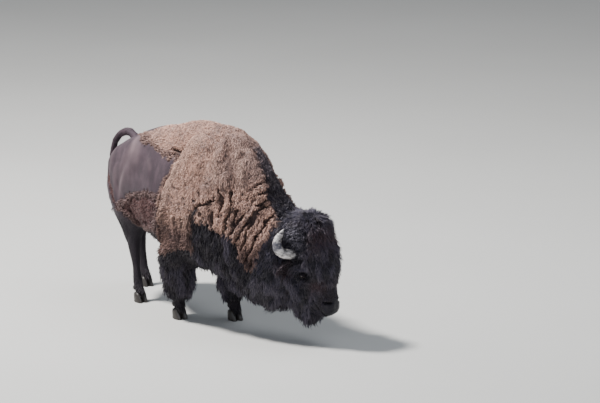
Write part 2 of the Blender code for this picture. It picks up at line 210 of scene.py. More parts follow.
@dataclass(frozen=True)
class HeadFrame:
    """Places on the head, measured down the face, out of the face and to its left."""

    poll: tuple[float, float, float] = (1.139, 0.247, 0.805)
    yaw: float = math.radians(21.0)
    tilt: float = math.radians(30.0)

    def axes(self) -> Array:
        """Rows: down the face, out of the face, to its left."""
        cy, sy = math.cos(self.yaw), math.sin(self.yaw)
        ct, st = math.cos(self.tilt), math.sin(self.tilt)
        return np.array([(cy * st, sy * st, -ct), (cy * ct, sy * ct, st), (-sy, cy, 0.0)])

    def place(self, down: float, front: float = 0.0, left: float = 0.0) -> Vector:
        """The world place of head coordinates."""
        return Vector(np.array(self.poll) + np.array((down, front, left)) @ self.axes())

    def on_side(self, place: Sequence[float], side: Side) -> Array:
        """The world place of head coordinates given for the left, on one side."""
        return np.array(self.place(place[0], place[1], side.value * place[2]))

    def local(self, points: Array) -> Array:
        """Head coordinates (down, front, left) of world places."""
        return (points - np.array(self.poll)) @ self.axes().T

    def turn(self) -> Matrix:
        """Columns: out of the face, to its left, up the face."""
        down, front, left = (Vector(row) for row in self.axes())
        return Matrix((front, left, -down)).transposed()


HEAD = HeadFrame()

# How far the frame's zero lies from the zero that places on the body are measured from
TO_FRAME = np.array((0.0171, 0.0016, 0.0))


# Shader and geometry trees --------------------------------------------


class Value:
    """A number socket that Python's operators work on, adding Math nodes to its tree."""

    def __init__(self, graph: "Graph", socket: bpy.types.NodeSocket) -> None:
        """Wraps a socket of a tree."""
        self.graph = graph
        self.socket = socket

    def _math(self, operation: str, *others: "Value | float") -> "Value":
        """Adds one Math node whose first number is this value."""
        inputs = dict(enumerate((self, *others)))
        return self.graph.node("ShaderNodeMath", {"operation": operation}, inputs)[0]

    def _swap(self, operation: str, first: "Value | float") -> "Value":
        """Adds one Math node whose second number is this value."""
        return self.graph.node("ShaderNodeMath", {"operation": operation}, {0: first, 1: self})[0]

    def __add__(self, other: "Value | float") -> "Value":
        """Sum."""
        return self._math("ADD", other)

    __radd__ = __add__

    def __mul__(self, other: "Value | float") -> "Value":
        """Product."""
        return self._math("MULTIPLY", other)

    __rmul__ = __mul__

    def __sub__(self, other: "Value | float") -> "Value":
        """Difference."""
        return self._math("SUBTRACT", other)

    def __rsub__(self, other: float) -> "Value":
        """Difference from a number."""
        return self._swap("SUBTRACT", other)

    def sine(self) -> "Value":
        """Sine."""
        return self._math("SINE")

    def between(self, low: float, high: float) -> "Value":
        """Rises smoothly from 0 at low to 1 at high."""
        settings = {"interpolation_type": "SMOOTHSTEP"}
        return self.graph.node("ShaderNodeMapRange", settings, {0: self, 1: low, 2: high})[0]


class Outputs:
    """The output sockets of one node, by index or name."""

    def __init__(self, graph: "Graph", node: bpy.types.Node) -> None:
        """Wraps a node of a tree."""
        self.graph = graph
        self.node = node

    def __getitem__(self, key: int | str) -> Value:
        """One output as a value."""
        return Value(self.graph, self.node.outputs[key])


class Graph:
    """A node tree under construction."""

    def __init__(self, tree: bpy.types.NodeTree) -> None:
        """Starts on an existing tree."""
        self.tree = tree

    def node(self, kind: str, settings: dict | None = None, inputs: dict | None = None) -> Outputs:
        """Adds a node.

        Args:
            kind: the node's type name.
            settings: attributes of the node, set first.
            inputs: values or links by socket index or name.

        Returns:
            The node's outputs.
        """
        made = self.tree.nodes.new(kind)
        for key, value in (settings or {}).items():
            setattr(made, key, value)
        for key, value in (inputs or {}).items():
            if isinstance(value, Value):
                self.tree.links.new(value.socket, made.inputs[key])
            else:
                made.inputs[key].default_value = value
        return Outputs(self, made)

    def attribute(self, name: str) -> Value:
        """The number stored under a name on the piece."""
        return self.node("ShaderNodeAttribute", {"attribute_name": name})["Fac"]

    def place(self) -> Value:
        """Object coordinates."""
        return self.node("ShaderNodeTexCoord")["Object"]

    def scaled(self, vector: Value, sizes: Value | tuple[float, float, float]) -> Value:
        """A vector times sizes, axis by axis."""
        return self.node("ShaderNodeVectorMath", {"operation": "MULTIPLY"}, {0: vector, 1: sizes})[0]

    def noise(self, vector: Value, scale: float, detail: float = 2.0, roughness: float = 0.5) -> Value:
        """Noise from 0 to 1 over a vector."""
        inputs = {"Vector": vector, "Scale": scale, "Detail": detail, "Roughness": roughness}
        return self.node("ShaderNodeTexNoise", None, inputs)["Fac"]

    def cells(self, vector: Value, scale: float) -> Value:
        """Distance to the nearest cell centre over a vector."""
        return self.node("ShaderNodeTexVoronoi", None, {"Vector": vector, "Scale": scale})["Distance"]

    def mix(self, share: Value | float, one: Value | Colour, two: Value | Colour) -> Value:
        """A colour between two colours."""
        settings = {"data_type": "RGBA", "clamp_factor": True}
        inputs: dict = {0: share}
        for key, colour in ((6, one), (7, two)):
            inputs[key] = colour if isinstance(colour, Value) else (*colour, 1.0)
        return self.node("ShaderNodeMix", settings, inputs)[2]

    def laid(self, colour: Value, mark: str, tint: Value | Colour, share: Value | float = 1.0) -> Value:
        """A colour with a tint laid over it, as strongly as a mark on the piece and a share say."""
        return self.mix(self.attribute(mark) * share, colour, tint)


class Finish:
    """A material under construction: a Principled shader and its tree."""

    def __init__(self, name: str, **constants: float | tuple) -> None:
        """Makes the material.

        Args:
            name: the material's name.
            constants: sockets of the shader by name, with _ for a space.
        """
        self.material = bpy.data.materials.new(name)
        self.material.use_nodes = True
        self.graph = Graph(self.material.node_tree)
        self.shader = self.material.node_tree.nodes["Principled BSDF"]
        for key, value in constants.items():
            self.shader.inputs[key.replace("_", " ")].default_value = value

    def feed(self, socket: str, value: Value) -> None:
        """Links a value to a socket of the shader."""
        self.graph.tree.links.new(value.socket, self.shader.inputs[socket])

    def bump(self, height: Value, distance: float, strength: float = 1.0) -> None:
        """Raises the surface by a height of 0 to 1 times a distance."""
        inputs = {"Height": height, "Distance": distance, "Strength": strength}
        self.feed("Normal", self.graph.node("ShaderNodeBump", None, inputs)[0])


# Where each kind of coat grows ----------------------------------------


class Hair(Enum):
    """Kinds of lock."""

    SHORT = "short"
    LONG = "long"
    WOOL = "wool"
    FELT = "felt"


@dataclass(frozen=True)
class Growth:
    """How the coat grows in one zone.

    depth is from the tips of the coat down to the skin, long and wide are the size of a
    lock, lift is its angle to the skin in degrees, and hang is how far its own weight
    turns it down.
    """

    depth: float
    long: float
    wide: float
    lift: float
    hang: float


BARE = Growth(0.004, 0.020, 0.0028, 3.0, 0.0)
WOOL = Growth(0.016, 0.030, 0.0092, 32.0, 0.2)
FELT = Growth(0.014, 0.024, 0.0078, 17.0, 0.6)
FOLD = Growth(0.014, 0.027, 0.0095, 22.0, 0.2)
PATCH = Growth(0.016, 0.042, 0.0090, 22.0, 1.4)
FRILL = Growth(0.024, 0.046, 0.0098, 46.0, 0.4)
FLANK = Growth(0.022, 0.070, 0.0085, 18.0, 0.5)
NECK = Growth(0.028, 0.085, 0.009, 19.0, 0.5)
CREST = Growth(0.018, 0.042, 0.0075, 20.0, 0.1)
TROUSERS = Growth(0.034, 0.090, 0.009, 19.0, 1.0)
BONNET = Growth(0.040, 0.070, 0.0080, 30.0, 0.1)
COLLAR = Growth(0.030, 0.080, 0.0080, 58.0, 0.0)
FRIZZ = Growth(0.046, 0.056, 0.009, 48.0, 0.1)
FOREHEAD = Growth(0.034, 0.084, 0.0085, 22.0, 0.4)
CHEEK = Growth(0.030, 0.078, 0.0085, 20.0, 0.5)
BEARD = Growth(0.036, 0.120, 0.009, 16.0, 1.2)
THROAT = Growth(0.034, 0.110, 0.0095, 18.0, 1.1)
FACE = Growth(0.007, 0.026, 0.0050, 18.0, 0.0)
LASHES = Growth(0.012, 0.026, 0.0055, 14.0, 0.0)
NOSE = Growth(0.001, 0.010, 0.004, 6.0, 0.0)
SHANK = Growth(0.004, 0.020, 0.0045, 9.0, 0.2)
FETLOCK = Growth(0.004, 0.052, 0.0075, 13.0, 1.2)
SWITCH = Growth(0.020, 0.105, 0.009, 3.5, 1.8)
SHEATH = Growth(0.022, 0.070, 0.010, 16.0, 1.2)


@dataclass(frozen=True)
class Markings:
    """Outlines of the coat's zones, and the line of the neck.

    The outlines give the distance along the spine and neck, then the height. Both sides
    of the body carry the same ones.
    """

    cape: tuple = (
        (-1.10, 1.85), (-1.10, 1.53), (-0.90, 1.52), (-0.73, 1.50), (-0.57, 1.485), (-0.38, 1.475),
        (-0.16, 1.445), (0.00, 1.44), (0.04, 1.46), (0.07, 1.40), (0.04, 1.33), (-0.02, 1.26),
        (-0.02, 1.04), (0.02, 0.99), (-0.06, 0.90), (-0.18, 0.76), (-0.20, 0.66), (-0.12, 0.60),
        (0.02, 0.61), (0.10, 0.66), (0.18, 0.69), (0.32, 0.70), (0.335, 0.87), (0.335, 1.02),
        (0.37, 1.085), (0.40, 0.98), (0.51, 0.95), (0.59, 0.90), (0.68, 0.89), (0.70, 0.83),
        (0.74, 0.76), (0.77, 0.68), (0.81, 0.62), (0.86, 0.58), (0.90, 0.69), (0.92, 0.80),
        (0.98, 0.93), (1.02, 1.02), (1.03, 1.11), (0.98, 1.20), (0.93, 1.30), (0.90, 1.39),
        (0.90, 1.95),
    )
    patch: tuple = (
        (-0.96, 0.85), (-0.87, 0.91), (-0.79, 0.97), (-0.65, 1.03), (-0.51, 1.07), (-0.30, 1.115),
        (-0.12, 1.13), (0.02, 1.14), (-0.02, 1.00), (-0.07, 0.90), (-0.18, 0.78), (-0.30, 0.745),
        (-0.50, 0.70), (-0.66, 0.665), (-0.76, 0.64), (-0.75, 0.70), (-0.78, 0.76), (-0.85, 0.805),
        (-0.94, 0.795), (-1.02, 0.90), (-1.10, 1.00), (-1.20, 1.10), (-1.19, 1.15), (-1.08, 1.06),
        (-1.00, 0.97),
    )
    neck_x: tuple = (0.229, 0.489, 0.709, 0.849, 0.959, 1.059, 1.149)
    neck_y: tuple = (-0.103, -0.073, 0.007, 0.077, 0.137, 0.187, 0.227)
    head_way: tuple = (0.936, 0.352, -0.40)
    head_start: float = 0.615
    tail: tuple = (
        (-1.09, -0.103, 1.29), (-1.211, -0.113, 1.40), (-1.301, -0.133, 1.433), (-1.361, -0.168, 1.415),
        (-1.411, -0.203, 1.338), (-1.451, -0.215, 1.23), (-1.476, -0.218, 1.10), (-1.484, -0.218, 0.99),
        (-1.484, -0.213, 0.88), (-1.471, -0.208, 0.785), (-1.461, -0.203, 0.69),
    )

    def along(self, points: Array) -> tuple[Array, Array]:
        """Distance along the spine and neck, and to their left.

        Args:
            points: places, one row each.

        Returns:
            Both distances for each place.
        """
        turn = np.arctan(np.gradient(self.neck_y, self.neck_x))
        turn = np.interp(points[:, 0], self.neck_x, turn) * (points[:, 0] > self.neck_x[0])
        side = (points[:, 1] - np.interp(points[:, 0], self.neck_x, self.neck_y)) * np.cos(turn)
        return points[:, 0] + side * np.sin(turn), side

    def past_neck(self, points: Array) -> Array:
        """How far places lie on the head's side of the end of the neck."""
        return points @ self.head_way - self.head_start


MARKINGS = Markings()


class Zones:
    """Shares of every zone at a set of places on the skin."""

    def __init__(self, points: Array) -> None:
        """Works out the shares.

        Args:
            points: places on the body's outer surface, one row each.
        """
        self.points = points
        self.station, self.aside = MARKINGS.along(points)
        x, z, off = points[:, 0], points[:, 2], np.abs(self.aside)
        wave = np.stack([rough_noise(points, 7.0, 11), rough_noise(points, 7.0, 23)], axis=1)
        fray = np.stack([rough_noise(points, 24.0, 31, 2), rough_noise(points, 24.0, 43, 2)], axis=1)
        shift = 0.014 * wave + 0.020 * fray
        ax, az = self.station + shift[:, 0], z + shift[:, 1]
        self.down, self.front, self.left = HEAD.local(points).T
        head = blend(-0.015, 0.02, MARKINGS.past_neck(points) + shift[:, 0])
        strip = 0.035 + 0.17 * np.clip(1.72 - z, 0.0, 0.75) + shift[:, 1]
        crest = blend(-0.01, 0.015, strip - off) * blend(0.62, 0.72, ax)
        crest = crest * blend(1.74, 1.58, z) * blend(0.9, 1.0, z)
        cape_way = inside(MARKINGS.cape, ax, az)
        shed = blend(-0.60, -0.66, ax) * blend(-0.150, -0.130, self.aside)
        cape = blend(-0.004, 0.008, cape_way) * (1.0 - shed)
        self.head = head
        self.crest = crest * (1.0 - head)
        self.wool = cape * (1.0 - crest) * (1.0 - head)
        patch = inside(MARKINGS.patch, ax, az)
        self.patch = blend(-0.004, 0.01, patch) * (1.0 - self.wool)
        ahead = blend(-0.99, -0.93, ax)
        # A line just inside the belly patch, darkened as a painted shadow under its fringe
        self.rim = self.patch * blend(0.040, 0.052, patch) * blend(0.095, 0.070, patch) * ahead
        self.frill = self.patch * blend(0.055, 0.030, patch) * ahead
        self.hem = self.wool * blend(0.050, 0.025, cape_way) * blend(0.36, 0.28, ax)
        worn = 0.055 + 0.05 * wave[:, 1]
        self.thin = self.wool * blend(worn, worn - 0.045, cape_way) * blend(0.10, 0.04, ax)
        self.thin *= blend(1.10, 1.18, z)
        foreleg = blend(0.56, 0.46, z) * blend(-0.45, -0.30, x) * blend(0.50, 0.44, x)
        self.foreleg = foreleg * (1.0 - head)
        self.throat = blend(0.62, 0.45, z) * blend(0.45, 0.60, x) * (1.0 - head) * (1.0 - foreleg)
        self.neck = blend(0.30, 0.42, x) * (1.0 - head) * (1.0 - self.throat) * (1.0 - foreleg)
        reach, self.tail_way, share = to_line(points, MARKINGS.tail)
        self.tail = blend(0.085, 0.050, reach) * blend(0.12, 0.2, share)
        self.switch = self.tail * blend(0.48, 0.62, share)
        sheath = np.hypot(x + 0.571, z - 0.53)
        self.sheath = blend(0.12, 0.08, sheath) * blend(0.08, 0.05, off)
        hind = blend(0.27, 0.19, ax + 1.6 * np.clip(0.88 - z, 0.0, 1.0))
        belly = blend(0.84, 0.76, z) * blend(-0.80, -0.72, x)
        self.bare = hind * (1.0 - self.wool) * (1.0 - self.patch) * (1.0 - belly)
        shank_fore = blend(0.22, 0.17, z) * blend(-0.6, -0.5, x) * blend(0.6, 0.5, x)
        shank_hind = blend(0.86, 0.66, z) * blend(-0.55, -0.62, x)
        self.shank = np.clip(shank_fore + shank_hind, 0.0, 1.0) * (1.0 - self.tail)
        self.fetlock = self.shank * blend(0.165, 0.125, z)
        self._head_zones()
        self.clump = self._clumps()
        self.crack = self._cracks()
        self.smooth_wool = self.wool * (1.0 - self.folded) * blend(0.95, 1.20, z)
        covered = (self.wool, self.patch, self.bare, self.head, self.tail, self.switch, self.shank)
        self.long_body = np.prod([1.0 - share for share in covered], axis=0)
        rear = np.maximum(blend(-1.16, -1.24, x), 0.8 * blend(1.00, 0.85, z))
        top = blend(0.09, 0.03, off) * blend(1.40, 1.48, z)
        self.edge = 0.55 * np.maximum(rear, top)
        self._tints()

    def _head_zones(self) -> None:
        """The zones of the head, in its own coordinates."""
        head, down, front, away = self.head, self.down, self.front, np.abs(self.left)
        jitter = 0.02 * rough_noise(self.points, 16.0, 57, 2)
        top = blend(0.10, 0.0, down + jitter - 0.25 * np.clip(front, 0.0, 0.3))
        self.bonnet = head * top
        beside = self._off(FRIZZ_MIDDLE)
        self.frizz = head * blend(0.125, 0.100, beside + 0.5 * jitter)
        self.parting = head * blend(0.155, 0.130, beside) * (1.0 - self.frizz)
        self.parting *= blend(-0.20, -0.12, down)
        low = down + jitter - 0.17 * blend(0.06, 0.14, front)
        self.forehead = head * blend(-0.05, 0.02, front) * blend(0.26, 0.16, low)
        self.face = head * blend(0.16, 0.27, down + jitter) * blend(-0.12, -0.04, front - 0.06 + jitter)
        muzzle = blend(0.42, 0.50, down + jitter) * blend(-0.16, -0.10, front)
        self.face = np.maximum(self.face * (1.0 - 0.85 * self.forehead), head * muzzle)
        pad = down + 0.4 * jitter + 0.20 * np.clip(front, 0.0, 0.1)
        self.nose = head * blend(0.520, 0.545, pad) * blend(-0.045, -0.015, front)
        self.beard = head * blend(-0.10, -0.18, front + jitter) * blend(0.26, 0.36, down)
        self.eye = head * blend(0.046, 0.034, self._off(EYE_RING))
        above = np.sqrt((down - 0.205) ** 2 + (0.85 * (front - 0.010)) ** 2 + (away - 0.17) ** 2)
        self.lashes = head * blend(0.085, 0.062, above)
        self.horn_way = np.stack([HORN_ROOT[0] - down, HORN_ROOT[1] - front], axis=1)
        off_horn = np.hypot(down - HORN_ROOT[0], front - HORN_ROOT[1])
        self.collar = head * blend(0.095, 0.065, off_horn) * (1.0 - self.frizz)
        self.collar *= blend(0.12, 0.15, away)
        covered = (self.bonnet, self.forehead, self.face, self.eye, self.frizz)
        self.cheek = head * np.prod([1.0 - share for share in covered], axis=0)

    def _off(self, place: tuple[float, float, float]) -> Array:
        """Distance from a place on either side of the head: down, out of the face and aside."""
        down, front, aside = place
        return np.sqrt((self.down - down) ** 2 + (self.front - front) ** 2 + (np.abs(self.left) - aside) ** 2)

    @staticmethod
    def socket(down: Array, front: Array) -> tuple[Array, Array]:
        """Places from the middle of the eye, along its slit towards the nose and across it."""
        out, low = front - SLIT_MIDDLE[1], down - SLIT_MIDDLE[0]
        run = out * math.cos(SLIT_SLANT) + low * math.sin(SLIT_SLANT)
        rise = out * math.sin(SLIT_SLANT) - low * math.cos(SLIT_SLANT)
        return run, rise

    def _tints(self) -> None:
        """Shares of the reddish parts and the painted shade low on the wool, the painted bluish sheen, the
        greyed wool, the painted highlight of the rump and the painted shade of the head's hollows.
        """
        down, front, away = self.down, self.front, np.abs(self.left)
        x, z = self.points[:, 0], self.points[:, 2]

        def spot(place: tuple[float, float], reach: tuple[float, float], strength: float) -> Array:
            """A soft spot on the head, down and out of the face."""
            apart = ((down - place[0]) / reach[0]) ** 2 + ((front - place[1]) / reach[1]) ** 2
            return strength * np.exp(-apart)

        brow = spot((0.00, 0.28), (0.11, 0.11), 0.9)
        bridge = spot((0.37, 0.075), (0.05, 0.08), 0.9)
        ear = spot((0.11, -0.108), (0.055, 0.045), 1.0)
        # Painted shade low on the wool: the lower neck and skirt turn a deeper reddish tan towards the bottom
        low_neck = blend(0.66, 0.80, self.station) * blend(0.95, 0.75, z)
        low_skirt = blend(1.10, 0.80, z) * blend(0.42, 0.36, self.station)
        self.reddish = np.clip(
            self.head * (brow + bridge + ear) + np.maximum(low_neck, low_skirt) * self.wool, 0.0, 1.0)
        # Painted sheen: bluish reflected sky over the dark hair, strongest on the lit cheek and brow spots
        cheek = spot((0.306, -0.13), (0.09, 0.10), 1.2) + spot((0.19, 0.05), (0.03, 0.10), 0.6)
        sheen_on_body = 0.35 * self.foreleg + 0.4 * self.throat + 0.35 * self.neck
        self.bluish = np.clip(self.head * (cheek + self.bonnet + 0.35) + sheen_on_body, 0.0, 1.0)
        self.ridge = self.crest * blend(1.20, 1.60, z)
        nostril, _, _ = to_line(np.stack([down, front, away], axis=1), NOSTRIL)
        run, rise = self.socket(down, front)
        wide = blend(1.4, 0.3, (run / 0.100) ** 2 + (rise / 0.060) ** 2)
        narrow = blend(1.4, 0.5, (run / 0.078) ** 2 + (rise / 0.028) ** 2)
        socket = np.maximum(0.5 * wide, narrow)
        lips = off_mouth(down, front) / 0.006
        lips = blend(1.6, 0.7, lips) * blend(0.40, 0.46, down) * blend(-0.10, -0.07, front)
        gaps = np.clip(strokes(np.stack([down, front], axis=1), HAIR_GAPS), 0.0, 1.0)
        gaps *= blend(0.08, 0.14, away)
        self.gap = self.head * gaps
        # Painted shade in the gaps between hair clumps, the nostrils, the line of the lips and the parting;
        # round the eye it is partly the socket's own dark skin and partly painted shade
        dark = (0.7 * gaps, blend(0.016, 0.009, nostril), socket, lips, 0.85 * self.parting)
        self.hollow = self.head * np.maximum.reduce(dark)
        self.greyed = self.wool * blend(0.35, 0.75, x) * blend(1.15, 1.5, z)
        flat = np.stack([self.station, z], axis=1)
        # Painted highlight on the rises of the wool's large forms and painted shade in their furrows
        self.relief = self.wool * np.clip(strokes(flat, WOOL_FORMS) / 0.022, -1.0, 1.0)
        # Painted highlight where the rump's forms turn to the light
        self.glossy = self.bare * np.clip(strokes(self.points[:, [0, 2]], RUMP_HIGHLIGHTS), 0.0, 1.0)

    def _clumps(self) -> Array:
        """Clumps of the long hair, drawn out along its fall: -1 between them and 1 on them. The colour paints
        shade between them and a highlight on them.
        """
        shares = np.stack([self.foreleg, self.throat, self.neck, self.beard, self.bonnet, self.forehead])
        shaved = self.face * (0.65 + 0.35 * blend(0.38, 0.46, self.down))
        shaggy = np.clip(shares.sum(axis=0) + self.head * (1.0 - shaved), 0.0, 1.0)
        along = 0.79 * self.down - 0.61 * self.front
        across = 0.61 * self.down + 0.79 * self.front
        on_head = rough_noise(np.stack([across, 0.38 * along, 0.8 * self.left], axis=1), 19.0, 95, 2)
        on_body = rough_noise(self.points * (1.0, 1.0, 0.42), 13.0, 96, 2)
        mixed = on_body + (on_head - on_body) * self.head
        calm = (1.0 - self.frizz) * (1.0 - self.crest) * (1.0 - 0.65 * self.bonnet)
        calm *= 1.0 - self.head * blend(0.125, 0.085, np.hypot(self.down - 0.225, self.front - 0.004))
        run, rise = self.socket(self.down, self.front)
        # Raised brow and fold under the eye, which the colour also lights with a painted highlight
        brow = 0.75 * np.exp(-((run / 0.062) ** 2 + ((rise - 0.058) / 0.017) ** 2))
        brow += 0.8 * np.exp(-((run / 0.060) ** 2 + ((rise + 0.052) / 0.014) ** 2))
        brow *= self.head * blend(0.10, 0.14, np.abs(self.left))
        return np.clip((1.6 + 0.8 * self.head) * mixed, -1.0, 1.0) * shaggy * calm + brow

    def _cracks(self) -> Array:
        """Deep cracks between the folds of the matted wool, 1 in their middle, and the line under the belly
        patch's fringe; both are sunk and darkened with painted shade.
        """
        along, z = self.station, self.points[:, 2]
        self.lean = blend(0.58, 0.86, along) * (0.42 + 0.50 * blend(1.05, 1.32, z))
        wobble = [rough_noise(self.points, 15.0, seed, 2) for seed in (71, 73)]
        flat = np.stack([along + 0.011 * wobble[0], z + 0.011 * wobble[1]], axis=1)
        deep = np.zeros(len(z))
        for line in CRACKS:
            apart, _, share = to_line(flat, line)
            width = 0.0160 * np.sin(math.pi * (0.12 + 0.78 * share)) ** 0.5
            deep = np.maximum(deep, blend(1.30, 0.65, apart / width))
        top = 1.20 + 0.16 * blend(0.55, 0.95, along)
        self.folded = self.wool * blend(top + 0.10, top - 0.10, z) * blend(0.34, 0.44, along)
        run = along * np.cos(self.lean) - z * np.sin(self.lean) + 0.05 * rough_noise(self.points, 4.5, 77)
        fold = np.abs(np.sin((run + 0.010 * wobble[0]) * math.pi / 0.046))
        breaks = blend(-0.15, 0.30, rough_noise(self.points, 9.0, 79, 2))
        small = 0.75 * self.folded * breaks * blend(0.62, 0.22, fold)
        calm = 0.35 + 0.65 * blend(1.45, 1.15, z)
        drawn = self.points * (1.0, 1.0, 0.5)
        # Pits of the matted wool, sunk and darkened with painted shade
        self.pit = self.wool * calm * blend(-0.30, -0.62, rough_noise(drawn, 38.0, 61, 2))
        # Painted shadow under the fringe of the belly patch
        rim = 0.8 * self.rim * blend(-0.35, 0.15, rough_noise(self.points, 12.0, 81, 2))
        return np.maximum(self.wool * np.maximum(deep, small), rim) * blend(0.0, 0.1, np.abs(self.aside))

    def layer(self) -> list[tuple[Array | float, Growth]]:
        """Shares and growths, each laid over the ones before it."""
        return [
            (1.0, FLANK), (self.neck, NECK), (self.throat, THROAT), (self.bare, BARE),
            (self.patch, PATCH), (self.frill, FRILL), (self.foreleg, TROUSERS), (self.crest, CREST),
            (self.wool, WOOL), (self.smooth_wool, FELT), (self.folded, FOLD), (self.hem, FRILL),
            (self.sheath, SHEATH), (self.shank, SHANK), (self.fetlock, FETLOCK), (self.tail, BARE),
            (self.switch, SWITCH),
            (self.head, CHEEK), (self.beard, BEARD), (self.forehead, FOREHEAD), (self.bonnet, BONNET),
            (self.frizz, FRIZZ), (self.face, FACE), (self.lashes, LASHES), (self.eye, FACE),
            (self.nose, NOSE), (self.collar, COLLAR),
        ]

    def growth(self, measure: str) -> Array:
        """One number of the growth at every place.

        Args:
            measure: a field of Growth.

        Returns:
            The number at each place.
        """
        total = np.zeros(len(self.points))
        for share, zone in self.layer():
            total = total * (1.0 - share) + getattr(zone, measure) * share
        return total

    def lie(self, normals: Array) -> Array:
        """The direction in which the coat lies, along the skin.

        Args:
            normals: the skin's outward directions.

        Returns:
            Unit rows along the skin.
        """
        points = self.points
        down_face, out_face, left_face = HEAD.axes()
        flow = np.tile((-0.75, 0.0, -0.55), (len(points), 1))
        neck = np.array((-0.15, 0.0, -1.0))
        flow += (neck - flow) * np.clip(self.neck + self.throat, 0.0, 1.0)[:, None]
        fall = -np.stack([np.sin(self.lean), np.zeros(len(points)), np.cos(self.lean)], axis=1)
        flow += (fall - flow) * self.folded[:, None]
        crest = np.array((-0.5, -0.1, 0.8))
        flow += (crest - flow) * (0.8 * self.crest)[:, None]
        flow += (np.array((-0.15, 0.0, -1.0)) - flow) * np.maximum(self.foreleg, self.shank)[:, None]
        whorl = np.array(HEAD.place(-0.16, 0.25))
        spread = unit(points - whorl) + 0.6 * down_face
        flow += (spread - flow) * np.maximum(self.bonnet, self.forehead)[:, None]
        cheek = 0.9 * down_face - 0.7 * out_face
        flow += (cheek - flow) * (self.head * (1.0 - np.maximum(self.bonnet, self.forehead)))[:, None]
        face = down_face - 0.15 * out_face + 0.5 * np.sign(self.left)[:, None] * left_face
        flow += (face - flow) * self.face[:, None]
        hug = unit(self.horn_way[:, :1] * down_face + self.horn_way[:, 1:] * out_face + 1e-6)
        flow += (hug - flow) * self.collar[:, None]
        flow[:, 2] -= self.growth("hang")
        flow += (self.tail_way - flow) * self.tail[:, None]
        flow += 0.25 * np.stack([rough_noise(points, 6.0, 101 + k) for k in range(3)], axis=1)
        along = flow - normals * np.sum(flow * normals, axis=1, keepdims=True)
        return unit(along)


# Lines and forms of the coat and the head -----------------------------

# Places on the head, down the face, out of it and to the side
HORN_ROOT = (0.036, 0.004)
FRIZZ_MIDDLE = (-0.085, 0.125, 0.215)
EYE_RING = (0.235, 0.006, 0.17)
SLIT_MIDDLE = (0.240, 0.004)

# The slant of the eye's slit to the face, in radians
SLIT_SLANT = 0.5

# The right and left nostril's slit: down the face, out of it, and to the side
NOSTRIL = ((0.508, 0.052, 0.100), (0.522, 0.076, 0.086), (0.540, 0.092, 0.050))

# Down the face and out of it, reach, and depth, of each gap between the clumps of hair; the gaps are also
# darkened with painted shade
HAIR_GAPS = (
    (((0.09, -0.19), (0.15, -0.21)), 0.020, 0.9),
    (((0.17, -0.36), (0.21, -0.41)), 0.024, 0.9),
    (((0.02, -0.17), (0.05, -0.22)), 0.014, 0.6),
    (((0.24, -0.24), (0.30, -0.29)), 0.016, 0.5),
    (((-0.03, 0.24), (0.03, 0.25)), 0.012, 0.5),
    (((0.10, 0.19), (0.17, 0.20)), 0.010, 0.5),
)

# Cracks in the wool, each a line of distances along the spine and neck, and heights
CRACKS = (
    ((0.55, 1.28), (0.578, 1.22), (0.588, 1.15), (0.584, 1.05)),
    ((0.655, 1.27), (0.66, 1.19)),
    ((0.499, 1.06), (0.506, 0.98)),
    ((0.371, 1.075), (0.41, 1.115), (0.52, 1.17), (0.552, 1.19)),
    ((0.375, 1.10), (0.343, 1.00), (0.355, 0.91), (0.341, 0.78), (0.317, 0.64)),
    ((0.85, 1.12), (0.79, 1.02), (0.762, 0.95), (0.739, 0.89), (0.715, 0.84)),
    ((0.775, 1.10), (0.711, 0.98), (0.682, 0.92), (0.66, 0.87)),
    ((0.96, 1.185), (0.91, 1.16), (0.875, 1.13), (0.846, 1.07), (0.822, 0.99), (0.79, 0.86), (0.766, 0.79)),
    ((1.00, 1.115), (0.955, 1.07), (0.931, 1.02), (0.906, 0.96), (0.869, 0.83), (0.79, 0.68)),
    ((0.675, 1.19), (0.671, 1.11), (0.645, 1.04), (0.634, 0.96), (0.612, 0.91)),
    ((0.728, 1.13), (0.708, 1.06), (0.69, 0.99)),
    ((0.528, 1.09), (0.523, 0.97)),
    ((0.415, 1.09), (0.437, 1.01), (0.489, 0.96)),
    ((0.87, 1.36), (0.816, 1.33), (0.79, 1.30)),
    ((0.92, 1.285), (0.86, 1.255)),
    ((0.945, 1.24), (0.892, 1.20), (0.855, 1.155)),
    ((-0.09, 1.515), (0.07, 1.52), (0.16, 1.55)),
    ((-0.02, 1.48), (0.14, 1.50)),
    ((0.00, 1.39), (0.09, 1.43), (0.10, 1.48)),
    ((0.87, 0.72), (0.83, 0.63)),
    ((0.012, 1.12), (-0.008, 1.02), (-0.035, 0.95)),
    ((-0.065, 0.89), (-0.10, 0.84), (-0.15, 0.78)),
)

# Line along the spine and neck, reach to each side, and height, of each large form of the wool; the heights
# also paint a highlight on its rises and shade in its furrows
WOOL_FORMS = (
    (((0.30, 1.72), (0.215, 1.61), (0.19, 1.52), (0.15, 1.34), (0.07, 1.17), (-0.04, 0.88)), 0.062, 0.030),
    (((0.14, 1.66), (0.09, 1.50), (0.05, 1.34), (-0.03, 1.16), (-0.12, 0.92)), 0.035, -0.018),
    (((0.52, 1.70), (0.588, 1.50), (0.636, 1.37), (0.66, 1.20)), 0.040, -0.028),
    (((0.60, 1.66), (0.70, 1.45), (0.75, 1.28)), 0.050, 0.017),
    (((0.45, 1.62), (0.50, 1.45), (0.53, 1.28)), 0.050, 0.015),
    (((0.374, 1.50), (0.396, 1.24), (0.345, 1.05)), 0.045, -0.015),
    (((0.36, 1.13), (0.42, 1.175), (0.50, 1.205)), 0.026, 0.010),
    (((0.30, 1.04), (0.29, 0.88), (0.27, 0.70)), 0.050, 0.018),
)

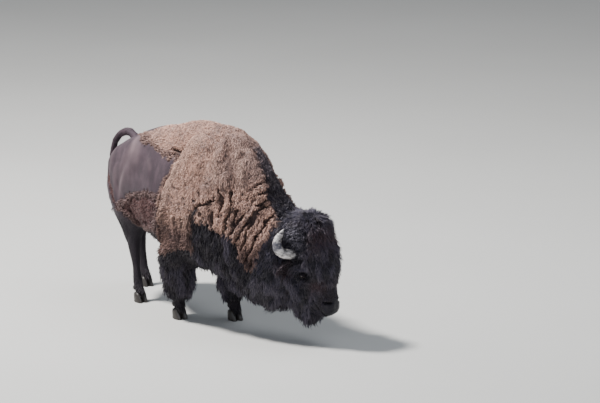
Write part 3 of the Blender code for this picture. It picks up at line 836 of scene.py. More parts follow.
# Line in side view, reach to each side, and strength, of each painted highlight on the rump, a paler coat
# where the form turns to the light
RUMP_HIGHLIGHTS = (
    (((-0.75, 1.46), (-0.72, 1.41)), 0.060, 0.8),
    (((-0.80, 1.16), (-0.86, 1.06), (-0.89, 0.93)), 0.034, 0.45),
    (((-0.66, 1.38), (-0.76, 1.26), (-0.85, 1.05)), 0.120, 0.32),
    (((-0.98, 1.20), (-0.97, 1.08), (-0.93, 0.96)), 0.035, 0.35),
    (((-0.36, 1.36), (-0.29, 1.31)), 0.030, 0.25),
    (((-0.64, 1.44), (-0.60, 1.33)), 0.045, 0.30),
    (((-1.15, 1.30), (-1.10, 1.15)), 0.045, 0.30),
)

# Line in side view, reach to each side, and height, of each form of the rump and thigh
RUMP_FORMS = (
    (((-0.72, 1.45), (-0.70, 1.44)), 0.065, 0.014),
    (((-0.62, 1.34), (-0.77, 1.18), (-0.86, 1.07), (-0.89, 0.93)), 0.060, 0.009),
    (((-0.79, 1.26), (-0.86, 1.12), (-0.92, 1.02), (-0.93, 0.90)), 0.034, -0.011),
    (((-1.00, 1.15), (-0.97, 1.04), (-0.95, 0.93)), 0.036, 0.008),
    (((-0.92, 1.33), (-1.02, 1.27)), 0.085, -0.014),
    (((-1.18, 1.32), (-1.22, 1.22)), 0.055, 0.010),
    (((-0.37, 1.38), (-0.32, 1.33), (-0.29, 1.25)), 0.045, 0.006),
    (((-0.52, 1.22), (-0.42, 1.18)), 0.10, -0.010),
    (((-1.14, 1.215), (-1.00, 1.24), (-0.88, 1.265)), 0.016, -0.003),
    (((-0.84, 0.70), (-0.87, 0.60), (-0.92, 0.50)), 0.026, -0.008),
    (((-1.28, 0.72), (-1.33, 0.60), (-1.38, 0.50)), 0.026, -0.008),
)

# Middle on the head, reach each way, and height, of each bump and hollow of the face
FACE_BUMPS = (
    ((0.36, -0.02, 0.16), (0.08, 0.03, 0.06), 0.010),
    ((0.45, 0.03, 0.12), (0.07, 0.04, 0.06), -0.006),
    ((0.585, 0.015, 0.085), (0.03, 0.012, 0.05), 0.008),
    ((0.585, 0.070, 0.0), (0.03, 0.03, 0.02), -0.003),
    ((-0.085, 0.125, 0.235), (0.085, 0.085, 0.09), 0.024),
)

# Line on the head, reach to each side, and height: brow, nostril, its upper rim and its wing
FACE_LINES = (
    (((0.155, -0.05, 0.18), (0.170, 0.044, 0.183), (0.212, 0.13, 0.165)), 0.034, 0.011),
    (NOSTRIL, 0.012, -0.026),
    (((0.488, 0.050, 0.103), (0.502, 0.088, 0.086), (0.520, 0.108, 0.045)), 0.012, 0.009),
    (((0.530, 0.035, 0.103), (0.548, 0.062, 0.088)), 0.012, 0.007),
)

# Height, middle across the slit, half length and half width: the eye's socket and two folds under it
SOCKET_FORMS = ((-0.036, 0.0, 0.070, 0.033), (0.009, -0.036, 0.055, 0.012), (-0.006, -0.060, 0.055, 0.011))


def off_mouth(down: Array, front: Array) -> Array:
    """Distance in side view from the line between the lips."""
    return np.abs(front + 0.022 + 0.10 * (0.60 - down))


# Skin -----------------------------------------------------------------

FLESH = (
    "head", "neck", "trunk", "hindquarters", "tail_root", "tail_switch",
    *(f"{leg}_{side}_{part}" for leg in ("foreleg", "hindleg") for side in ("right", "left")
      for part in ("upper", "lower")),
)


def read_vectors(data: bpy.types.bpy_prop_collection, field: str, width: int = 3) -> Array:
    """Numbers of a mesh collection as rows."""
    flat = np.empty(len(data) * width, np.float32)
    data.foreach_get(field, flat)
    return flat.reshape(-1, width).astype(np.float64)


def store(mesh: Mesh, name: str, rows: Array) -> None:
    """Keeps numbers or vectors on a mesh's points under a name."""
    kind = "FLOAT_VECTOR" if rows.ndim == 2 else "FLOAT"
    found = mesh.attributes.get(name) or mesh.attributes.new(name, kind, "POINT")
    found.data.foreach_set("vector" if rows.ndim == 2 else "value", rows.astype(np.float32).ravel())


def link(name: str, data: bpy.types.ID) -> Object:
    """A new object of a mesh, light or camera in the scene."""
    made = bpy.data.objects.new(name, data)
    bpy.context.scene.collection.objects.link(made)
    return made


def baked(thing: Object, name: str) -> Mesh:
    """The mesh of an object after its modifiers, which are then removed."""
    bpy.context.view_layer.update()
    graph = bpy.context.evaluated_depsgraph_get()
    mesh = bpy.data.meshes.new_from_object(thing.evaluated_get(graph))
    mesh.name = name
    thing.modifiers.clear()
    return mesh


def smooth(mesh: Mesh) -> None:
    """Shades every face of a mesh smooth."""
    mesh.polygons.foreach_set("use_smooth", [True] * len(mesh.polygons))


@dataclass
class Skin:
    """The bare body in one piece, inside the solids by the depth of the coat."""

    frame: dict
    voxel: float = 0.0158
    overlap: float = 0.0015
    settle: int = 5
    full_tail: float = 0.012
    clearance: float = 0.02

    def joined(self) -> Mesh:
        """Copies of the solids of flesh, each a little swollen, in one mesh."""
        whole = bmesh.new()
        for name in FLESH:
            piece = bmesh.new()
            piece.from_mesh(self.frame["nodes"][name].data)
            bmesh.ops.remove_doubles(piece, verts=piece.verts, dist=1e-5)
            piece.normal_update()
            for vertex in piece.verts:
                vertex.co += vertex.normal * self.overlap
            copy = bpy.data.meshes.new("copy")
            piece.to_mesh(copy)
            whole.from_mesh(copy)
            bpy.data.meshes.remove(copy)
            piece.free()
        mesh = bpy.data.meshes.new("skin_source")
        whole.to_mesh(mesh)
        whole.free()
        return mesh

    def fused(self) -> Mesh:
        """The joined solids as one even surface, softened."""
        source = link("skin_source", self.joined())
        fuse = source.modifiers.new("fuse", "REMESH")
        fuse.mode = "VOXEL"
        fuse.voxel_size = self.voxel
        soften = source.modifiers.new("soften", "SMOOTH")
        soften.factor = 0.5
        soften.iterations = self.settle
        mesh = baked(source, "skin")
        bpy.data.objects.remove(source)
        return mesh

    def refined(self, mesh: Mesh) -> None:
        """Divides the mesh on the folds of the cape and on the face, and again at the eyes and muzzle."""
        for reach in (self._on_folds, self._on_face, self._on_detail):
            shape = bmesh.new()
            shape.from_mesh(mesh)
            near = reach(read_vectors(mesh.vertices, "co") - TO_FRAME)
            shape.verts.ensure_lookup_table()
            edges = [e for e in shape.edges if near[e.verts[0].index] and near[e.verts[1].index]]
            bmesh.ops.subdivide_edges(shape, edges=edges, cuts=1, use_grid_fill=True, smooth=0.6)
            bmesh.ops.triangulate(shape, faces=[f for f in shape.faces if len(f.verts) > 4])
            shape.to_mesh(mesh)
            shape.free()

    @staticmethod
    def _on_folds(points: Array) -> Array:
        """Whether points lie on the cracked lower part of the cape."""
        station, aside = MARKINGS.along(points)
        z = points[:, 2]
        return (station > 0.33) & (station < 1.04) & (z > 0.6) & (z < 1.4) & (abs(aside) > 0.1)

    @staticmethod
    def _on_face(points: Array) -> Array:
        """Whether points lie on the face."""
        down, front, _ = HEAD.local(points).T
        return (down > 0.12) & (down < 0.75) & (front > -0.16) & (MARKINGS.past_neck(points) > 0.0)

    @staticmethod
    def _on_detail(points: Array) -> Array:
        """Whether points lie round an eye or on the end of the muzzle."""
        down, front, left = HEAD.local(points).T
        eye = np.sqrt((down - 0.235) ** 2 + (front - 0.01) ** 2 + (abs(left) - 0.168) ** 2)
        return (eye < 0.085) | ((down > 0.47) & (down < 0.70) & (front > -0.13))

    def build(self) -> tuple[Object, Zones]:
        """Makes the skin.

        Returns:
            The skin, and the zones of its coat at its points.
        """
        mesh = self.fused()
        self.refined(mesh)
        outer = read_vectors(mesh.vertices, "co")
        normals = read_vectors(mesh.vertex_normals, "vector")
        zones = Zones(outer - TO_FRAME)
        sunk = self.full_tail * zones.tail * (1.0 - zones.switch) - zones.growth("depth")
        sunk += self._wool_forms(zones) + self._muscle_forms(zones.points) + self._face_forms(zones)
        moved = outer + normals * sunk[:, None]
        moved[:, 2] = np.maximum(moved[:, 2], self.clearance)
        mesh.vertices.foreach_set("co", moved.astype(np.float32).ravel())
        mesh.update()
        smooth(mesh)
        skin = link("skin", mesh)
        return skin, zones

    @staticmethod
    def _wool_forms(zones: Zones) -> Array:
        """Lumps and cracks of the matted wool."""
        woolly = np.maximum(zones.wool, zones.patch)
        even = woolly * (1.0 - 0.7 * zones.smooth_wool)
        drawn = zones.points * (1.0, 1.0, 0.55)
        lumps = 0.007 * rough_noise(drawn, 12.0, 83, 2) * woolly
        knots = 0.006 * rough_noise(drawn, 38.0, 87, 2) * even * (1.0 - 0.6 * zones.folded)
        flat = np.stack([zones.station, zones.points[:, 2]], axis=1)
        large = strokes(flat, WOOL_FORMS) * woolly * blend(0.05, 0.2, np.abs(zones.aside))
        clumps = 0.015 * zones.clump
        raised = 0.010 * zones.folded * (1.0 - zones.crack) + 0.014 * np.maximum(zones.frill, zones.hem)
        return lumps + knots + clumps + large + raised - 0.038 * zones.crack - 0.010 * zones.pit

    @staticmethod
    def _muscle_forms(points: Array) -> Array:
        """Hip bone, the muscles of the rump and thigh, and the furrows between them."""
        return strokes(points[:, [0, 2]], RUMP_FORMS) * blend(0.10, 0.20, np.abs(points[:, 1] + 0.103))

    @staticmethod
    def _face_forms(zones: Zones) -> Array:
        """Brows, eye sockets, cheek bones, nostrils, lips and the line of the mouth."""
        down, front, left = zones.down, zones.front, zones.left
        away = np.abs(left)
        place = np.stack([down, front, away], axis=1)
        total = np.zeros(len(place))
        for centre, reach, height in FACE_BUMPS:
            apart = ((place - centre) / reach) ** 2
            total += height * np.exp(-apart.sum(axis=1))
        for line, reach, height in FACE_LINES:
            apart, _, _ = to_line(place, line)
            total += height * np.exp(-((apart / reach) ** 2))
        run, rise = zones.socket(down, front)
        for height, middle, half, thick in SOCKET_FORMS:
            apart = (run / half) ** 2 + ((rise - middle) / thick) ** 2 + ((away - 0.175) / 0.06) ** 2
            total += height * np.exp(-apart)
        total -= 0.030 * zones.parting + 0.024 * zones.gap
        mouth = off_mouth(down, front) / 0.008
        total -= 0.011 * np.exp(-mouth**2) * blend(0.42, 0.48, down)
        creases = np.sin((down - 0.24) * 260.0 + 30.0 * front + 3.0 * rough_noise(zones.points, 20.0, 91, 1))
        under = np.exp(-(((down - 0.275) / 0.03) ** 2 + (front / 0.05) ** 2))
        total += 0.0018 * creases * under
        return total * zones.head


# Locks of hair --------------------------------------------------------


@dataclass(frozen=True)
class LockShape:
    """The shape of one kind of lock, for a length of 1."""

    rings: int
    width: float
    thickness: float
    wave: float
    curl: float
    bend: float
    variants: int = 6


LOCK_SHAPES = {
    Hair.SHORT: LockShape(2, 0.34, 0.07, 0.02, 0.0, 0.18),
    Hair.LONG: LockShape(4, 0.15, 0.07, 0.07, 0.35, 0.35),
    Hair.WOOL: LockShape(3, 0.38, 0.18, 0.03, 2.3, 0.4),
    Hair.FELT: LockShape(3, 0.34, 0.16, 0.05, 0.9, 0.45),
}


@dataclass
class Lock:
    """Tapered three-sided locks of one kind, to be strewn over the skin."""

    kind: Hair

    def spine(self, variant: int) -> Array:
        """The middle line of one variant.

        Args:
            variant: which of the shapes.

        Returns:
            A row for each ring and one for the tip.
        """
        shape = LOCK_SHAPES[self.kind]
        count = shape.rings + 1
        side = 1.0 if variant % 2 else -1.0
        turn = shape.curl * (0.65 + 0.7 * (variant * 0.37 % 1.0))
        roll = variant * 2.4
        rows = [np.zeros(3)]
        for step in range(1, count):
            t = (step - 0.5) / (count - 1)
            angle = side * turn * t
            sway = shape.wave * 2.0 * math.pi * math.cos(2.0 * math.pi * t + roll)
            across = math.sin(angle) * math.cos(0.6 * roll) + sway
            over = shape.bend * (0.5 - 1.6 * t) + math.sin(abs(angle)) * 0.35 * math.sin(roll)
            way = np.array((math.cos(angle), across, over))
            rows.append(rows[-1] + way / np.linalg.norm(way) / (count - 1))
        return np.array(rows)

    def mesh(self, variant: int) -> Mesh:
        """The closed mesh of one variant, with its place from root to tip as an attribute.

        Args:
            variant: which of the shapes.

        Returns:
            The mesh, growing along +X from the origin.
        """
        shape = LOCK_SHAPES[self.kind]
        spine = self.spine(variant)
        corners, faces, along, patches = [], [], [], []
        for ring, centre in enumerate(spine[:-1]):
            t = ring / shape.rings
            wide = shape.width * (0.75 + 0.5 * t if t < 0.4 else 1.15 * (1.0 - t) ** 0.7 + 0.16)
            thick = shape.thickness * (1.0 - 0.6 * t)
            way = spine[ring + 1] - centre
            out = np.array((-way[1], way[0], 0.0)) / max(np.hypot(way[0], way[1]), 1e-6)
            up = np.cross(way / np.linalg.norm(way), out)
            for across, over in ((-0.5, -0.3), (0.5, -0.3), (0.0, 0.7)):
                corners.append(centre + out * across * wide + up * over * thick)
                along.append(t)
        corners.append(spine[-1])
        along.append(1.0)
        tip = 3 * shape.rings
        for ring in range(shape.rings):
            for k in range(3):
                a, b = 3 * ring + k, 3 * ring + (k + 1) % 3
                low, high = ring / shape.rings, (ring + 1) / shape.rings
                left, right = k / 3.0, (k + 1) / 3.0
                if ring + 1 < shape.rings:
                    faces.append((a, b, b + 3, a + 3))
                    patches += [(left, low), (right, low), (right, high), (left, high)]
                else:
                    faces.append((a, b, tip))
                    patches += [(left, low), (right, low), ((left + right) / 2.0, 1.0)]
        faces.append((2, 1, 0))
        patches += [(1.0, 0.0), (0.5, 0.2), (0.0, 0.0)]
        mesh = bpy.data.meshes.new(f"lock_{self.kind.value}_{variant}")
        mesh.from_pydata(corners, [], faces)
        layer = mesh.uv_layers.new(name="OFBake")
        layer.data.foreach_set("uv", np.array(patches, np.float32).ravel())
        store(mesh, "along", np.array(along))
        smooth(mesh)
        return mesh

    def collection(self) -> bpy.types.Collection:
        """All variants in a collection that is in no scene."""
        group = bpy.data.collections.new(f"locks_{self.kind.value}")
        for variant in range(LOCK_SHAPES[self.kind].variants):
            mesh = self.mesh(variant)
            group.objects.link(bpy.data.objects.new(mesh.name, mesh))
        return group


class CoatTree:
    """The geometry tree that grows locks on the skin, along the lie of the coat."""

    def __init__(self) -> None:
        """Builds the tree."""
        self.tree = bpy.data.node_groups.new("coat", "GeometryNodeTree")
        self.graph = Graph(self.tree)
        self.sockets: dict[str, str] = {}
        for name, kind in (
            ("Geometry", "Geometry"), ("Spacing", "Float"), ("Density", "Float"), ("Seed", "Int"),
            ("Locks", "Collection"), ("Variants", "Int"), ("Ratio", "Float"), ("Stray", "Float"),
            ("Finish", "Material"),
        ):
            made = self.tree.interface.new_socket(name, in_out="INPUT", socket_type=f"NodeSocket{kind}")
            self.sockets[name] = made.identifier
        self.tree.interface.new_socket("Geometry", in_out="OUTPUT", socket_type="NodeSocketGeometry")
        self._grow()

    def _named(self, name: str, kind: str = "FLOAT") -> Value:
        """The attribute stored under a name."""
        return self.graph.node("GeometryNodeInputNamedAttribute", {"data_type": kind}, {"Name": name})[0]

    def _random(self, low: float | tuple, high: float | tuple, seed: Value, offset: int) -> Value:
        """A random number or vector for each lock."""
        kind, first, out = ("FLOAT_VECTOR", 0, 0) if isinstance(low, tuple) else ("FLOAT", 2, 1)
        inputs = {first: low, first + 1: high, "Seed": seed + float(offset)}
        return self.graph.node("FunctionNodeRandomValue", {"data_type": kind}, inputs)[out]

    def _grow(self) -> None:
        """Adds the nodes: strew, turn, scale, place, realize and dress."""
        graph = self.graph
        group = graph.node("NodeGroupInput")
        seed = group["Seed"]
        strewn = graph.node(
            "GeometryNodeDistributePointsOnFaces",
            {"distribute_method": "POISSON"},
            {
                "Mesh": group["Geometry"], "Distance Min": group["Spacing"],
                "Density Max": group["Density"], "Density Factor": self._named("share"), "Seed": seed,
            },
        )
        points = strewn["Points"]
        for name, kind, value in (
            ("root", "FLOAT_VECTOR", graph.node("GeometryNodeInputPosition")[0]),
            ("tone", "FLOAT", self._random(0.0, 1.0, seed, 1)),
        ):
            settings = {"data_type": kind, "domain": "POINT"}
            inputs = {"Geometry": points, "Name": name, "Value": value}
            points = graph.node("GeometryNodeStoreNamedAttribute", settings, inputs)[0]
        ways = {0: self._named("grow", "FLOAT_VECTOR"), 1: self._stray(group, seed)}
        way = graph.node("ShaderNodeVectorMath", {"operation": "ADD"}, ways)[0]
        settings = {"primary_axis": "X", "secondary_axis": "Z"}
        turned = graph.node("FunctionNodeAxesToRotation", settings, {0: way, 1: strewn["Normal"]})[0]
        long = self._named("long") * self._random(0.7, 1.25, seed, 5)
        wide = self._named("wide") * group["Ratio"] * self._random(0.75, 1.3, seed, 6)
        sizes = graph.node("ShaderNodeCombineXYZ", None, {0: long, 1: wide, 2: wide})[0]
        settings = {"transform_space": "ORIGINAL"}
        inputs = {0: group["Locks"], "Separate Children": True, "Reset Children": True}
        locks = graph.node("GeometryNodeCollectionInfo", settings, inputs)[0]
        pick = self._random(0.0, 1.0, seed, 7) * group["Variants"]
        inputs = {
            "Points": points, "Instance": locks, "Pick Instance": True, "Instance Index": pick,
            "Rotation": turned, "Scale": sizes,
        }
        placed = graph.node("GeometryNodeInstanceOnPoints", None, inputs)[0]
        real = graph.node("GeometryNodeRealizeInstances", None, {0: placed})[0]
        inputs = {"Geometry": real, "Material": group["Finish"]}
        dressed = graph.node("GeometryNodeSetMaterial", None, inputs)[0]
        graph.node("NodeGroupOutput", None, {0: dressed})

    def _stray(self, group: Outputs, seed: Value) -> Value:
        """How far each lock strays from the lie of the coat."""
        odd = self._random((-1.0, -1.0, -1.0), (1.0, 1.0, 1.0), seed, 9)
        size = self.graph.node("ShaderNodeCombineXYZ", None, {k: group["Stray"] for k in range(3)})[0]
        return self.graph.scaled(odd, size)


class Chart(Enum):
    """Unwraps of the body's own shape."""

    TRUNK = "trunk"
    HEAD = "head"
    LEGS = "legs"
    TAIL = "tail"


LEG_LINES = {"fore_right": (-0.04, -0.30), "fore_left": (0.25, 0.09), "hind_right": (-0.82, -0.31),
             "hind_left": (-1.29, 0.03)}


def unwrap(points: Array, chart: Chart) -> Array:
    """Places on an unwrap of the body.

    Args:
        points: places on the skin.
        chart: which unwrap.

    Returns:
        Two numbers from 0 to 1 for each place.
    """
    if chart is Chart.HEAD:
        down, front, left = HEAD.local(points).T
        run, turn = down, np.arctan2(left, front + 0.05)
    elif chart is Chart.LEGS:
        leg = np.argmin([np.hypot(points[:, 0] - x, points[:, 1] - y) for x, y in LEG_LINES.values()], axis=0)
        lines = np.array(list(LEG_LINES.values()))[leg]
        turn = np.arctan2(points[:, 1] - lines[:, 1], points[:, 0] - lines[:, 0])
        turn = (turn / (2.0 * math.pi) + 0.5) * 0.96 + leg
        run = points[:, 2]
    elif chart is Chart.TAIL:
        run, turn = points[:, 0] - 2.0 * points[:, 2], np.arctan2(points[:, 1] + 0.18, points[:, 0] + 1.46)
    else:
        spine = np.interp(points[:, 0], (-1.3, 0.3, 1.1), (1.15, 1.05, 0.75))
        run, turn = points[:, 0], np.arctan2(MARKINGS.along(points)[1], points[:, 2] - spine)
    spread = np.stack([turn, run], axis=1)
    low, high = spread.min(axis=0), spread.max(axis=0)
    return (spread - low) / np.maximum(high - low, 1e-6)


@dataclass(frozen=True)
class Fleece:
    """One piece of the coat: where it grows, with what locks and how close."""

    name: str
    kind: Hair
    mask: Callable[[Zones], Array]
    spacing: float
    chart: Chart
    slot: str
    stray: float


def side_share(zones: Zones, side: Side) -> Array:
    """1 on one side of the body and 0 on the other."""
    return (zones.aside * side.value >= 0.0).astype(float)


def band(values: Array, low: float, high: float) -> Array:
    """1 where values lie from low up to high, and 0 elsewhere."""
    return ((values >= low) & (values < high)).astype(float)


def fleeces() -> list[Fleece]:
    """Every piece of the coat."""
    made = []
    for side in Side:
        for name, low, high in (("rear", -9.0, -0.30), ("middle", -0.30, 0.30), ("front", 0.30, 9.0)):
            made.append(Fleece(
                f"cape_{side.word}_{name}", Hair.FELT,
                lambda z, s=side, a=low, b=high: z.wool * (1.0 - z.crack) * (1.0 - 0.75 * z.pit)
                * side_share(z, s) * band(z.station, a, b),
                0.0082, Chart.TRUNK, "wool", 0.32))
        for name, kind, share, spacing, chart, slot, stray in (
            ("belly_wool", Hair.FELT, lambda z: z.patch * (1.0 - z.frill),
             0.0082, Chart.TRUNK, "wool", 0.30),
            ("belly_fringe", Hair.WOOL, lambda z: z.frill, 0.0072, Chart.TRUNK, "wool", 0.50),
            ("neck_hair", Hair.LONG, lambda z: z.long_body * (1.0 - z.foreleg),
             0.0086, Chart.TRUNK, "dark_hair", 0.22),
            ("foreleg_hair", Hair.LONG, lambda z: z.foreleg * (1.0 - z.shank) * (1.0 - z.wool),
             0.0086, Chart.LEGS, "dark_hair", 0.22),
            ("rump_hair", Hair.SHORT, lambda z: z.edge * z.bare * (1.0 - z.shank) * (1.0 - z.tail),
             0.0098, Chart.TRUNK, "short_hair", 0.12),
        ):
            made.append(Fleece(
                f"{name}_{side.word}", kind, lambda z, f=share, s=side: f(z) * side_share(z, s),
                spacing, chart, slot, stray))
    made += [
        Fleece("shank_hair", Hair.SHORT, lambda z: z.shank * (1.0 - z.switch), 0.0088, Chart.LEGS,
               "short_hair", 0.12),
        Fleece("bonnet", Hair.LONG, lambda z: z.bonnet * (1.0 - z.frizz), 0.0066, Chart.HEAD,
               "dark_hair", 0.30),
        Fleece("frizz", Hair.WOOL, lambda z: z.frizz, 0.0066, Chart.HEAD, "dark_hair", 0.6),
        Fleece("forehead_hair", Hair.LONG, lambda z: z.forehead * (1.0 - z.bonnet) * (1.0 - z.eye)
               * (1.0 - z.frizz), 0.0068, Chart.HEAD, "dark_hair", 0.30),
        Fleece("cheek_hair", Hair.LONG, lambda z: z.cheek * (1.0 - 0.8 * z.gap), 0.0072, Chart.HEAD,
               "dark_hair", 0.18),
        Fleece("face_hair", Hair.SHORT, lambda z: z.face * (1.0 - z.nose) * (1.0 - z.eye),
               0.0056, Chart.HEAD, "dark_hair", 0.12),
        Fleece("tail_hair", Hair.SHORT, lambda z: z.tail * (1.0 - z.switch), 0.008, Chart.TAIL,
               "short_hair", 0.12),
        Fleece("tail_switch_hair", Hair.LONG, lambda z: z.switch, 0.0052, Chart.TAIL, "dark_hair", 0.12),
    ]
    return made


@dataclass
class Coat:
    """All the hair, grown on a copy of the skin."""

    skin: Object
    zones: Zones
    body_hair: Material
    head_hair: Material
    floor: float = 0.012
    crowding: float = 2.2
    first_seed: int = 40
    ear_seed: int = 90
    ear_long: float = 0.030
    ear_wide: float = 0.0052
    ear_lift: float = 0.45
    chip: float = 0.003
    margin: float = 0.0015
    tree: CoatTree = field(default_factory=CoatTree)
    locks: dict = field(default_factory=lambda: {kind: Lock(kind).collection() for kind in Hair})

    def seedbed(self) -> Object:
        """A copy of the skin that carries the growth at every point."""
        mesh = self.skin.data.copy()
        normals = read_vectors(mesh.vertex_normals, "vector")
        along = self.zones.lie(normals)
        lift = np.radians(self.zones.growth("lift"))[:, None]
        firm = 1.0 + 1.4 * self.zones.folded[:, None]
        store(mesh, "grow", (along * np.cos(lift) + normals * np.sin(lift)) * firm)
        patchy = 0.85 + 0.25 * rough_noise(self.zones.points, 12.0, 111, 2)
        store(mesh, "long", self.zones.growth("long") * patchy)
        store(mesh, "wide", self.zones.growth("wide"))
        return link("seedbed", mesh)

    def grow(self) -> list[Object]:
        """Grows every piece.

        Returns:
            The pieces of the coat.
        """
        bed = self.seedbed()
        made = []
        for number, fleece in enumerate(fleeces()):
            store(bed.data, "share", np.clip(fleece.mask(self.zones), 0.0, 1.0))
            mesh = self._strewn(bed, fleece, number)
            made.append(link(fleece.name, mesh))
        bpy.data.objects.remove(bed)
        return made

    def _strewn(self, bed: Object, fleece: Fleece, number: int) -> Mesh:
        """The locks of one piece, grown on a bed that carries its share at every point.

        Args:
            bed: the surface to grow on.
            fleece: the piece.
            number: sets its chances apart from the other pieces'.

        Returns:
            The mesh of all its locks.
        """
        shape = LOCK_SHAPES[fleece.kind]
        finish = self.head_hair if fleece.chart is Chart.HEAD else self.body_hair
        grower = bed.modifiers.new("coat", "NODES")
        grower.node_group = self.tree.tree
        for name, value in (
            ("Spacing", fleece.spacing), ("Density", self.crowding / fleece.spacing**2),
            ("Seed", self.first_seed + number),
            ("Locks", self.locks[fleece.kind]), ("Variants", shape.variants),
            ("Ratio", 1.0 / shape.width), ("Stray", fleece.stray), ("Finish", finish),
        ):
            grower[self.tree.sockets[name]] = value
        mesh = baked(bed, fleece.name)
        self._settle(mesh, fleece.chart)
        return mesh

    def clear(self) -> None:
        """Removes the locks that were strewn."""
        for group in self.locks.values():
            for thing in list(group.objects):
                bpy.data.objects.remove(thing)
            bpy.data.collections.remove(group)

    def on_ear(self, ear: Object, side: Side) -> Object:
        """Short hair on an ear, lying towards its tip.

        Args:
            ear: the ear.
            side: its side.

        Returns:
            The piece of hair.
        """
        bed = link("seedbed", ear.data.copy())
        places = read_vectors(bed.data.vertices, "co")
        normals = read_vectors(bed.data.vertex_normals, "vector")
        middle = np.array(HEAD.place(0.10, -0.10, 0.0)) + TO_FRAME
        way = unit(places - middle)
        way = unit(way - normals * np.sum(way * normals, axis=1, keepdims=True))
        store(bed.data, "grow", way + self.ear_lift * normals)
        for name, number in (("long", self.ear_long), ("wide", self.ear_wide), ("share", 1.0)):
            store(bed.data, name, np.full(len(places), number))
        fleece = Fleece(
            f"ear_hair_{side.word}", Hair.LONG, lambda z: z.head, 0.0058, Chart.HEAD, "dark_hair", 0.3)
        mesh = self._strewn(bed, fleece, self.ear_seed)
        bpy.data.objects.remove(bed)
        made = link(fleece.name, mesh)
        return made

    def _settle(self, mesh: Mesh, chart: Chart) -> None:
        """Keeps locks off the floor and spreads the bake map over the skin's unwrap."""
        roots = read_vectors(mesh.attributes["root"].data, "vector")
        places = read_vectors(mesh.vertices, "co")
        places[:, 2] = np.maximum(places[:, 2], self.floor)
        mesh.vertices.foreach_set("co", places.astype(np.float32).ravel())
        corners = np.empty(len(mesh.loops), np.int32)
        mesh.loops.foreach_get("vertex_index", corners)
        layer = mesh.uv_layers["OFBake"]
        patch = read_vectors(layer.data, "uv", 2)
        room = 1.0 - self.chip - 2.0 * self.margin
        spread = unwrap(roots, chart)[corners] * room + self.margin + patch * self.chip
        layer.data.foreach_set("uv", spread.astype(np.float32).ravel())
        for name in ("root", "grow", "long", "wide", "share"):
            mesh.attributes.remove(mesh.attributes[name])
        mesh.update()


# Finishes -------------------------------------------------------------


@dataclass(frozen=True)
class Palette:
    """Colours of the coat, in linear light, among them painted highlights and painted shade."""

    tan: Colour = (0.730, 0.440, 0.338)
    # painted highlight on the rises of the wool's large forms
    tan_pale: Colour = (0.720, 0.470, 0.375)
    tan_grey: Colour = (0.445, 0.296, 0.256)
    # painted shade in the wool's furrows and low on the neck and skirt
    tan_deep: Colour = (0.078, 0.042, 0.037)
    russet: Colour = (0.124, 0.060, 0.054)
    summer: Colour = (0.0350, 0.0218, 0.0280)
    summer_pale: Colour = (0.0560, 0.0370, 0.0455)
    shank: Colour = (0.0150, 0.0115, 0.0140)
    # painted highlight of the rump
    gleam: Colour = (0.170, 0.120, 0.130)
    black: Colour = (0.0046, 0.0038, 0.0072)
    brown: Colour = (0.0135, 0.0080, 0.0090)
    red: Colour = (0.0480, 0.0170, 0.0180)
    # painted bluish sheen of reflected sky
    blue: Colour = (0.0290, 0.0260, 0.0500)
    lit: Colour = (0.0580, 0.0490, 0.0720)
    frizz: Colour = (0.0480, 0.0450, 0.0600)
    ridge: Colour = (0.080, 0.058, 0.064)
    thin: Colour = (0.205, 0.130, 0.122)
    nose: Colour = (0.0065, 0.0058, 0.0080)
    # painted shade in the pits of the wool
    pit: Colour = (0.060, 0.034, 0.026)
    frill: Colour = (0.125, 0.080, 0.068)
    # painted shade between the clumps of hair
    gap: Colour = (0.002, 0.0016, 0.0026)
    # painted shade in the head's hollows, with the dark skin round the eyes
    hollow: Colour = (0.002, 0.0018, 0.002)
    # painted shade in the cracks of the wool and under the belly patch's fringe
    crack: Colour = (0.02, 0.012, 0.01)
    glint: Colour = (0.60, 0.55, 0.57)
    shade: Colour = (0.0, 0.0, 0.0)


PALETTE = Palette()
MARKS = ("wool", "patch", "bare", "shank", "frizz", "reddish", "bluish", "greyed", "nose", "crack",
         "hollow", "glossy", "frill", "hem", "pit", "relief", "ridge", "folded", "clump", "thin")


